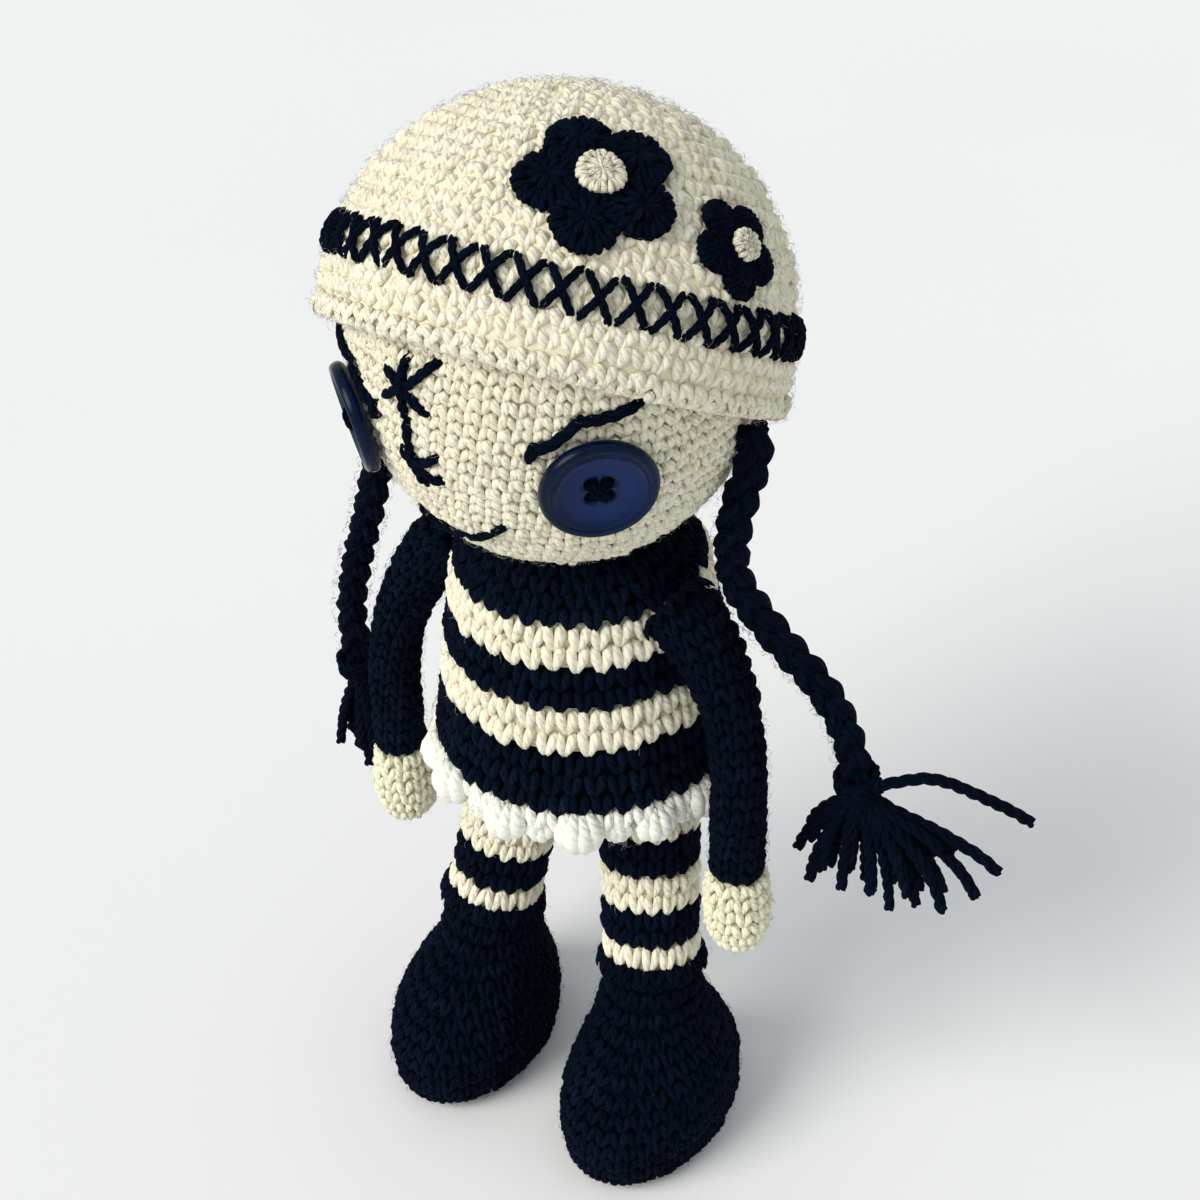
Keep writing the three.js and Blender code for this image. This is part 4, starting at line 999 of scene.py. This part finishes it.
def make_torso():
    """The stuffed body inside the dress, with stitches on its underside alone."""
    bottom = HIP_HEIGHT + LEG_RADIUS + LEG_SWELL + FIT
    inset = DRESS_WALL + FIT
    shares = np.linspace(0.06, 1, 8)
    rim = dress_grid([bottom + 1.0], inset + 2.6)[0]
    middle = rim.mean(axis=0)
    floor = middle + (rim - middle) * shares[:, None, None]
    floor[..., 2] = bottom + 1.0 - 0.9 * np.sin(np.pi * shares / 2)[:, None]
    sides = dress_grid(np.linspace(bottom + 3.0, TORSO_TOP - 4.0, 14), inset + 0.6)
    top = dress_grid([TORSO_TOP - 1.0], inset + 2.0)
    close = dress_grid([TORSO_TOP - 0.6], YOKE_TOP_RADIUS - 4.5)
    patch = Patch(np.concatenate([floor, sides, top, close]))
    knit("torso_knit", "torso", "black_yarn", "body", patch, 0.8, patch.run[len(shares) - 1] + 2.0,
         DRESS_ROW, DRESS_STITCH, group=6, fuzz=FIBRES["body_black"])


# Arms

SLEEVE_SHARES = [[-0.2, 0, -0.02], [0.02, 0, 0.02], [0.26, 0.06, 0.09], [0.52, 0.2, 0.195],
                 [0.74, 0.4, 0.31], [0.91, 0.64, 0.46], [0.99, 0.86, 0.64], [1, 0.97, 0.82],
                 [1, 1, 0.94], [1, 1, 1]]
HAND_SHARES = [[0, 0.8], [0.12, 0.9], [0.4, 1], [0.65, 0.97], [0.85, 0.74], [0.95, 0.42], [0.995, 0.12]]
# How much fuller the sleeve is at the shoulder, and how far along it leans on to the dress
SHOULDER_PLUMP, SHOULDER_REACH, SHOULDER_START = 0.9, 11.0, -2.6
SHOULDER_FACE = DRESS_TOP_RADIUS + (DRESS_HEM_RADIUS - DRESS_TOP_RADIUS) \
    * (YOKE_BOTTOM - SHOULDER_HEIGHT + SHOULDER_RADIUS * 1.5) / (YOKE_BOTTOM - HEM_BOTTOM) + FIT
WRIST = np.array([HAND_REACH, -HAND_FORWARD, WRIST_HEIGHT])
SHOULDER = np.array([SHOULDER_FACE, -THREAD_FORWARD, SHOULDER_HEIGHT])
ARM_AROUND = 48


def sleeve_grid(side):
    """The sleeve from the wrist up. Its top is rounded and leans on to the dress."""
    places = (SHOULDER + (WRIST - SHOULDER) * np.array(SLEEVE_SHARES)) * [side, 1, 1]
    path = through(places, 90)
    keep = np.abs(path[:, 0]) > SHOULDER_FACE + SHOULDER_START
    path = path[np.argmax(keep):][::-1]
    share = np.linspace(1, 0, len(path))
    swell = np.clip(share / 0.5, 0, 1)
    swell = swell * swell * (3 - 2 * swell)
    radius = SHOULDER_RADIUS + SHOULDER_PLUMP * (1 - swell) + (SLEEVE_RADIUS - SHOULDER_RADIUS) * swell
    end = np.minimum(1, (np.arange(len(path))[::-1] + 0.5) / 2.0)
    radius = radius * np.sqrt(np.clip(1 - (1 - end) ** 2, 0.1, 1))
    grid = rings_along(path, radius, (1, 0, 0), ARM_AROUND)
    out = np.abs(grid[..., 0])
    dress = np.sqrt(np.maximum(0, dress_radius(grid[..., 2])[0] ** 2 - grid[..., 1] ** 2))
    room = np.maximum(0, SHOULDER_FACE + SHOULDER_START - dress)
    near = np.clip(1 - (out - SHOULDER_FACE - SHOULDER_START) / SHOULDER_REACH, 0, 1)
    ahead = np.clip((-THREAD_FORWARD - grid[..., 1]) / SHOULDER_RADIUS + 0.5, 0, 1)
    above = np.clip((grid[..., 2] - SHOULDER_HEIGHT) / SHOULDER_RADIUS + 0.5, 0, 0.85)
    grid[..., 0] -= side * room * near * np.maximum(ahead, above)
    return grid


def make_arm(side, name):
    body = "arm_" + name
    patch = Patch(sleeve_grid(side))
    knit("sleeve_knit_" + name, "sleeve_" + name, "black_yarn", body, patch, 0.0, patch.run[-1] - 0.6,
         SLEEVE_ROW, SLEEVE_STITCH, fill=0.85, every=2, fuzz=FIBRES[body + "_black"], fuzz_share=1.2,
         drift=0.1, plump=1.1, depth=0.85)
    fine = np.linspace(0, len(HAND_SHARES) - 1, 40)
    drop, share = (np.interp(fine, range(len(HAND_SHARES)), column) for column in np.transpose(HAND_SHARES))
    grid = level_rings(HAND_RADIUS * share, -(FIT + HAND_HEIGHT * drop), ARM_AROUND) + WRIST * [side, 1, 1]
    patch = Patch(grid[::-1])
    knit("hand_knit_" + name, "hand_" + name, "hand_yarn", body, patch, 0.6, patch.run[-1], HAND_ROW,
         HAND_STITCH, inset=0.8, fuzz=FIBRES[body + "_hand"], fuzz_share=1.0, plump=1.05)


# Legs and boots. Each row of the foot is its height, width, length and how far forward it is.

FOOT_SHARES = [[0, 0.8, 0.82, 1], [0.07, 0.95, 0.95, 1], [0.2, 1, 1, 1], [0.35, 0.99, 0.97, 0.97],
               [0.49, 0.9, 0.84, 0.84], [0.62, 0.76, 0.65, 0.56], [0.74, 0.66, 0.5, 0.26]]
SOLE_HEIGHT, FOOT_BOTTOM, FOOT_STEPS, LEG_AROUND = 1.3, 1.9, 6, 72
LEG_TOP_RADIUS = LEG_RADIUS + LEG_SWELL


def smooth_rings(rings, steps):
    """Rings with more between them, on smooth curves through their points."""
    rings = np.array(rings)
    before = np.concatenate([rings[:1], rings[:-1]])
    after = np.concatenate([rings[1:], rings[-1:]])
    slope = (after - before) / 2
    out = []
    for k in range((len(rings) - 1) * steps + 1):
        first = min(k // steps, len(rings) - 2)
        t = k / steps - first
        a, b = rings[first], rings[first + 1]
        out.append((2 * t ** 3 - 3 * t ** 2 + 1) * a + (t ** 3 - 2 * t ** 2 + t) * slope[first]
                   + (3 * t ** 2 - 2 * t ** 3) * b + (t ** 3 - t ** 2) * slope[first + 1])
    return np.array(out)


def make_leg(side, name):
    body = "leg_" + name
    hip = np.array([side * HIP_SPACING, -HIP_FORWARD, HIP_HEIGHT])
    ankle = np.array([side * ANKLE_SPACING, -HIP_FORWARD - ANKLE_FORWARD, BOOT_HEIGHT])
    down = unit(ankle - hip)
    length = np.linalg.norm(ankle - hip)
    across = unit(np.array([1.0, 0, 0]) - down * down[0])
    along = np.cross(across, down)
    angle = round_turns(LEG_AROUND)
    toe = facing(side * BOOT_TURN)
    wide = facing(side * BOOT_TURN + 90)
    spin = angle - math.radians(side * BOOT_TURN)

    def leg_ring(distance, radius):
        return hip + down * distance + radius * spokes(across, along, angle)

    def foot_ring(height, width_share, length_share, forward):
        centre = ankle + toe * BOOT_FORWARD * forward
        centre[0] += side * BOOT_SPREAD * forward
        centre[2] = height
        return centre + wide * BOOT_HALF_WIDTH * width_share * np.cos(spin)[:, None] \
            - toe * BOOT_HALF_LENGTH * length_share * np.sin(spin)[:, None]

    sole = [foot_ring(SOLE_HEIGHT, 0.8 * k, 0.82 * k, 1) for k in (0.05, 0.25, 0.5, 0.75, 0.94)]
    foot = [foot_ring(max(FOOT_BOTTOM, h * BOOT_HEIGHT), *shares) for h, *shares in FOOT_SHARES]
    cuff = [leg_ring(length + rise, radius) for rise, radius in (
        (CUFF_HEIGHT * 1.45, ANKLE_RADIUS - 0.1), (CUFF_HEIGHT, ANKLE_RADIUS),
        (CUFF_HEIGHT * 0.55, CUFF_RADIUS), (CUFF_HEIGHT * 0.15, CUFF_RADIUS),
        (-0.6, CUFF_RADIUS - 1.4), (0.2, LEG_RADIUS - 1.2))]
    patch = Patch(smooth_rings(sole + foot + cuff, FOOT_STEPS))
    knit("boot_knit_" + name, "boot_" + name, "black_yarn", body, patch, 1.0, patch.run[-1] - 1.2,
         BOOT_ROW, BOOT_STITCH, fill=0.95, floor=FLOOR_GAP, group=4, fuzz=FIBRES[body + "_black"],
         fuzz_share=0.9, drift=0.05, plump=1.1, depth=0.85)

    tall = [leg_ring(d, LEG_RADIUS + LEG_SWELL * 0.6) for d in np.linspace(length, 0, 40)]
    dome = [leg_ring(-LEG_TOP_RADIUS * s, LEG_TOP_RADIUS * math.sqrt(1 - s * s))
            for s in (0.3, 0.55, 0.78, 0.93, 0.995)]
    patch = Patch(np.array(tall + dome))
    start = phase = 0.0
    for band, height in (("cream_low", LOW_BAND), ("black_low", LEG_BAND), ("cream_high", LEG_BAND),
                         ("black_high", LEG_BAND), ("top", patch.run[-1] - LOW_BAND - 3 * LEG_BAND)):
        colour = "black" if band.startswith("black") else "cream"
        row = LOW_BAND if band == "cream_low" else LEG_ROW
        end = start + height
        heap = Heap()
        phase = crochet([heap], patch, start, end, row, LEG_STITCH, phase=phase,
                        fuzz=FIBRES[body + "_" + colour], fuzz_share=1.0, drift=0.08)
        first, last = np.searchsorted(patch.run, [start, end])
        Patch(patch.grid[max(0, first - 1):last + 1]).backing(heap, 1.1)
        heap.build(body + "_" + band + "_knit", colour + "_yarn", body, [body + "_" + band], fill=0.9)
        start = end


# Braids

LEFT_SHARES = [[0, 0, 0], [0, 0, 0.06], [-0.107, -0.2, 0.175], [-0.16, -0.3, 0.3], [-0.137, -0.1, 0.4],
               [0.137, 0.3, 0.535], [0.563, 0.75, 0.68], [0.81, 1, 0.8], [0.975, 1, 0.94], [1, 1, 1]]
RIGHT_SHARES = [[0, 0, 0], [0, 0, 0.055], [0.14, 0, 0.17], [0.3, -0.1, 0.32], [0.548, -0.25, 0.5],
                [0.82, -0.25, 0.66], [0.98, -0.25, 0.8], [1, -0.25, 0.93], [1, -0.25, 1]]
LEFT_REACH, LEFT_DROP, RIGHT_REACH, RIGHT_DROP = 26.3, 102.5, 22.8, 113.0
LOOSE_SHARES = [[0, 0, 0], [0.151, 0.06, -0.061], [0.287, 0.13, -0.08], [0.419, 0.225, -0.01],
                [0.587, 0.325, 0.108], [0.789, 0.438, 0.257], [0.864, 0.487, 0.334]]
# Ends of the left tassel's strands from the end of its braid, from side to side
LEFT_TIPS = [[-13, -3, -14], [-13, -6, -21], [-10, -7, -31], [-8, -4, -24], [-5, 1, -29], [-2, -4, -27],
             [2, 3, -31], [6, 0, -32], [10, 4, -33], [13, -4, -31], [17, 3, -27], [20, -3, -30],
             [24, 4, -30], [28, -4, -27], [31, 4, -23], [34, 0, -17], [36, 3, -12]]
# How many strands the right tassel has, how far they spread and how far they lean outwards
RIGHT_STRANDS, RIGHT_SPREAD, RIGHT_LEAN = 16, 9.0, 0.2
PLAIT_PITCH, PLAIT_WIDE, PLAIT_DEEP, PLAIT_RADIUS = 23.0, 2.15, 1.35, 4.2
CORD_PITCH, CORD_REACH, CORD_STRAND = 46.0, 1.25, 1.24
COIL_RADIUS, COIL_TURNS, COIL_CORD, KNOT_REACH, KNOT_RADIUS, KNOT_CORD = 5.0, 4.2, 1.1, 5.6, 1.5, 1.0
TASSEL_ROOT, TASSEL_STRAND, LOOSE_STRAND, SOFT_TIP = 2.6, 1.55, 1.6, 0.95
# How far the plait reaches above the braid's place, up under the cap
PLAIT_RISE = 2.4
BRAID_TOP_REACH = float(ball_radius(HEAD, -BRAID_TOP_DROP - BRAID_RADIUS)) + FIT + BRAID_RADIUS


def make_plait(name, path):
    """Three plaited cords, each of five strands."""
    length = steps_of(path).sum()
    run = np.linspace(0, length, len(path))
    tangents, across, along = frames_along(path, (0.85, 0.53, 0))
    narrow = np.interp(run, [0, 5, length - 9, length], [0.9, 1.04, 1, 0.94])
    heap = Heap()
    for k in range(3):
        turn = 2 * np.pi * (run / PLAIT_PITCH + k / 3)
        centre = path + across * (PLAIT_WIDE * narrow * np.sin(turn))[:, None] \
            + along * (PLAIT_DEEP * narrow * np.sin(2 * turn))[:, None]
        _, side_way, fore = frames_along(centre, (0.3, 0.5, 0.8))
        for j in range(5):
            roll = 2 * np.pi * (run / CORD_PITCH + j / 4)
            out = 0.0 if j == 4 else CORD_REACH
            strand = centre + spokes(side_way, fore, roll) * (out * narrow)[:, None]
            tube(heap, strand[::2], CORD_STRAND * narrow[::2], tint=0.5 + rng.normal(0, 0.03))
    inner = slice(6, -6)
    for turn in rng.uniform(0, 2 * np.pi, 3):
        out = across[inner] * math.cos(turn) + along[inner] * math.sin(turn)
        lay_fuzz(heap, path[inner] + out * PLAIT_RADIUS, np.cross(out, tangents[inner]), tangents[inner],
                 out, 4.0, 0.16, 0.0)
    heap.build("plait_" + name, "black_yarn", "braid_" + name, ["braid_" + name])
    return tangents[-1]


def make_tie(side, name, end, ways, loose):
    """A cord wound round the braid's end, with a knot and on one side a loose end."""
    down, side_way, fore = ways
    middle = end - down * (TIE_HEIGHT / 2)
    tie = Heap()
    turn = np.linspace(0, 2 * np.pi * COIL_TURNS, 110)
    coil = middle + COIL_RADIUS * spokes(side_way, fore, turn) \
        + down * (np.linspace(-3.0, 3.0, len(turn)) + 0.5 * np.sin(turn / 2))[:, None]
    yarn(tie, coil, COIL_CORD)
    loop = np.linspace(0, 2 * np.pi * 1.1, 26)
    knot = middle + side_way * side * KNOT_REACH + KNOT_RADIUS * spokes(down, fore, loop) \
        + side_way * side * np.linspace(-0.5, 0.6, len(loop))[:, None]
    yarn(tie, knot, KNOT_CORD)
    if loose:
        start = middle + side_way * side * (4.9 + TIE_RADIUS) / 2
        ends = start + np.array(LOOSE_SHARES) * [side * TIE_END, TIE_END, -TIE_END]
        yarn(tie, through(ends, 46), LOOSE_STRAND, tip=SOFT_TIP)
    tie.build("tie_" + name, "black_yarn", "braid_" + name, ["braid_tie_" + name])


def make_tassel(side, name, end, ways, loose):
    """Strands from the braid's end. The loose left ones end at LEFT_TIPS, two near each."""
    down, side_way, fore = ways
    top = end + down * 0.6
    bends = [(0.2, 0.02), (0.58, 0.35), (0.88, 0.72), (1.0, 1.0)]
    count = len(LEFT_TIPS) * 2 if loose else RIGHT_STRANDS
    tassel = Heap()
    for k in range(count):
        ring = (0.5, 1.0, 0.78)[k % 3]
        vary = rng.uniform(0.68, 1.0)
        if loose:
            tip = np.array(LEFT_TIPS[k // 2]) * (1.0 if k % 2 else rng.uniform(0.62, 0.88))
            out, back, fall = tip[0], tip[1] * (1 if k % 2 or tip[0] < 0 else -1.4), -tip[2] - 1.0
            turn = math.pi * (1 - (tip[0] + 16) / 52) + (0.5 if k % 2 else -0.5)
        else:
            turn = 2 * np.pi * (k + 0.3) / count
            out = RIGHT_SPREAD * ring * (math.cos(turn) + RIGHT_LEAN)
            back = RIGHT_SPREAD * ring * math.sin(turn) / 2
            fall = (TASSEL_LENGTH * (1 - RIGHT_LEAN * 0.6 * math.cos(turn)) - 0.5) * vary
        begin = top + side_way * TASSEL_ROOT * math.cos(turn) * ring \
            + fore * TASSEL_ROOT * math.sin(turn) * ring - down * 2.5
        wobble = rng.normal(0, 1.5, 3) * [0.8, 1, 0.6]
        points = [begin] + [top + np.array([side * out * a, back * a, -1.0 - fall * b]) + wobble * a * b
                            for a, b in bends]
        yarn(tassel, through(points, 30), TASSEL_STRAND * rng.uniform(0.92, 1.06), tip=SOFT_TIP,
             tint=0.5 + rng.normal(0, 0.03))
    tassel.build("tassel_strands_" + name, "black_yarn", "braid_" + name, ["tassel_" + name])


def make_braid(side, name, shares, reach, drop, loose):
    places = np.array(shares) * [side * reach, BRAID_BACK, -drop] \
        + [side * BRAID_TOP_REACH, 0, -BRAID_TOP_DROP] + HEAD_CENTRE
    path = through(np.concatenate([places[:1] + [0, 0, PLAIT_RISE], places]), 260)
    down = make_plait(name, path)
    side_way = unit(np.array([1.0, 0, 0]) - down * down[0])
    ways = (down, side_way, np.cross(side_way, down))
    make_tie(side, name, path[-1], ways, loose)
    make_tassel(side, name, path[-1], ways, loose)


# Assembly

SIDES = ((1, "left"), (-1, "right"))

make_head()
make_cap()
make_cap_border()
for flower, looks in FLOWERS.items():
    make_flower(flower, *looks)
for sign, side_name in SIDES:
    sew("brow_" + side_name, "brow_stitch_" + side_name, BROW, BROW_THREAD, sign)
sew("mouth", "mouth_stitch", MOUTH, MOUTH_THREAD)
sew("scar", "scar_stitch", SCAR, SCAR_THREAD)
make_dress()
make_hem()
make_torso()
for sign, side_name in SIDES:
    make_button(sign, side_name)
    make_arm(sign, side_name)
    make_leg(sign, side_name)
make_braid(1, "left", LEFT_SHARES, LEFT_REACH, LEFT_DROP, True)
make_braid(-1, "right", RIGHT_SHARES, RIGHT_REACH, RIGHT_DROP, False)
for key, heap in FIBRES.items():
    body, colour = key.rsplit("_", 1)
    heap.build("fibres_" + key, colour + "_yarn", body, floor=FLOOR_GAP)

# Solids that are kept take the scene's materials
for kept, slot in (("head_stuffing", "filling"), ("leg_stuffing_left", "filling"),
                   ("leg_stuffing_right", "filling"), ("neck_dowel", "dowel_wood"),
                   ("shoulder_thread", "black_yarn")):
    for material_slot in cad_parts[kept].material_slots:
        material_slot.material = SLOTS[slot]


# Floor, light and camera

FLOOR_RADIUS = 8.0
SEEN_COLOUR, SEEN_STRENGTH = (0.88, 0.88, 0.88, 1), 1.0
SOFT_COLOUR, SOFT_STRENGTH = (0.94, 0.985, 1.03, 1), 0.56
KEY_FROM, KEY_COLOUR, KEY_STRENGTH, KEY_ANGLE = (-0.42, -0.72, 0.6), (1.0, 0.975, 0.92), 2.3, 38
CAMERA_PLACE, CAMERA_TURNS, CAMERA_LENS = (218.4, -336.9, 460.4), (32.34, 36.89, 2.81), 58.56


def make_floor():
    mesh = bpy.data.meshes.new("floor")
    ring = level_rings(np.array([FLOOR_RADIUS]), np.zeros(1), 64)[0]
    mesh.from_pydata(ring.tolist(), [], [list(range(len(ring)))])
    mesh.materials.append(floor_material())
    floor = new_object("floor", mesh)


def make_light():
    """A soft sky that the camera sees as a plain backdrop, and one sun."""
    world = bpy.data.worlds.new("studio")
    bpy.context.scene.world = world
    world.use_nodes = True
    tree = world.node_tree
    tree.nodes.clear()
    seen = node(tree, "ShaderNodeBackground", {"Color": SEEN_COLOUR, "Strength": SEEN_STRENGTH})
    soft = node(tree, "ShaderNodeBackground", {"Color": SOFT_COLOUR, "Strength": SOFT_STRENGTH})
    path = node(tree, "ShaderNodeLightPath").outputs
    either = math_node(tree, "MAXIMUM", path["Is Camera Ray"], path["Is Transmission Ray"])
    mix = node(tree, "ShaderNodeMixShader")
    for slot, value in zip(mix.inputs, (either, soft.outputs[0], seen.outputs[0])):
        connect(tree, value, slot)
    node(tree, "ShaderNodeOutputWorld", {"Surface": mix.outputs[0]})
    lamp = bpy.data.lights.new("key", "SUN")
    lamp.energy = KEY_STRENGTH
    lamp.angle = math.radians(KEY_ANGLE)
    lamp.color = KEY_COLOUR
    new_object("key", lamp).rotation_euler = Vector(KEY_FROM).to_track_quat("Z", "Y").to_euler()


def make_camera():
    azimuth, elevation, roll = (math.radians(turn) for turn in CAMERA_TURNS)
    back = np.array([math.sin(azimuth) * math.cos(elevation), -math.cos(azimuth) * math.cos(elevation),
                     math.sin(elevation)])
    right = np.array([math.cos(azimuth), math.sin(azimuth), 0.0])
    up = np.cross(back, right)
    turned_right = math.cos(roll) * right - math.sin(roll) * up
    turned_up = math.sin(roll) * right + math.cos(roll) * up
    data = bpy.data.cameras.new("camera")
    data.sensor_width = 36.0
    data.lens = CAMERA_LENS
    data.clip_start = 0.01
    camera = new_object("camera", data)
    columns = np.stack([turned_right, turned_up, back, (np.array(CAMERA_PLACE) + SHIFT) * MM], -1)
    camera.matrix_world = Matrix([*columns.tolist(), [0.0, 0.0, 0.0, 1.0]])
    bpy.context.scene.camera = camera


make_floor()
make_light()
make_camera()
bpy.context.scene.view_settings.view_transform = "Standard"
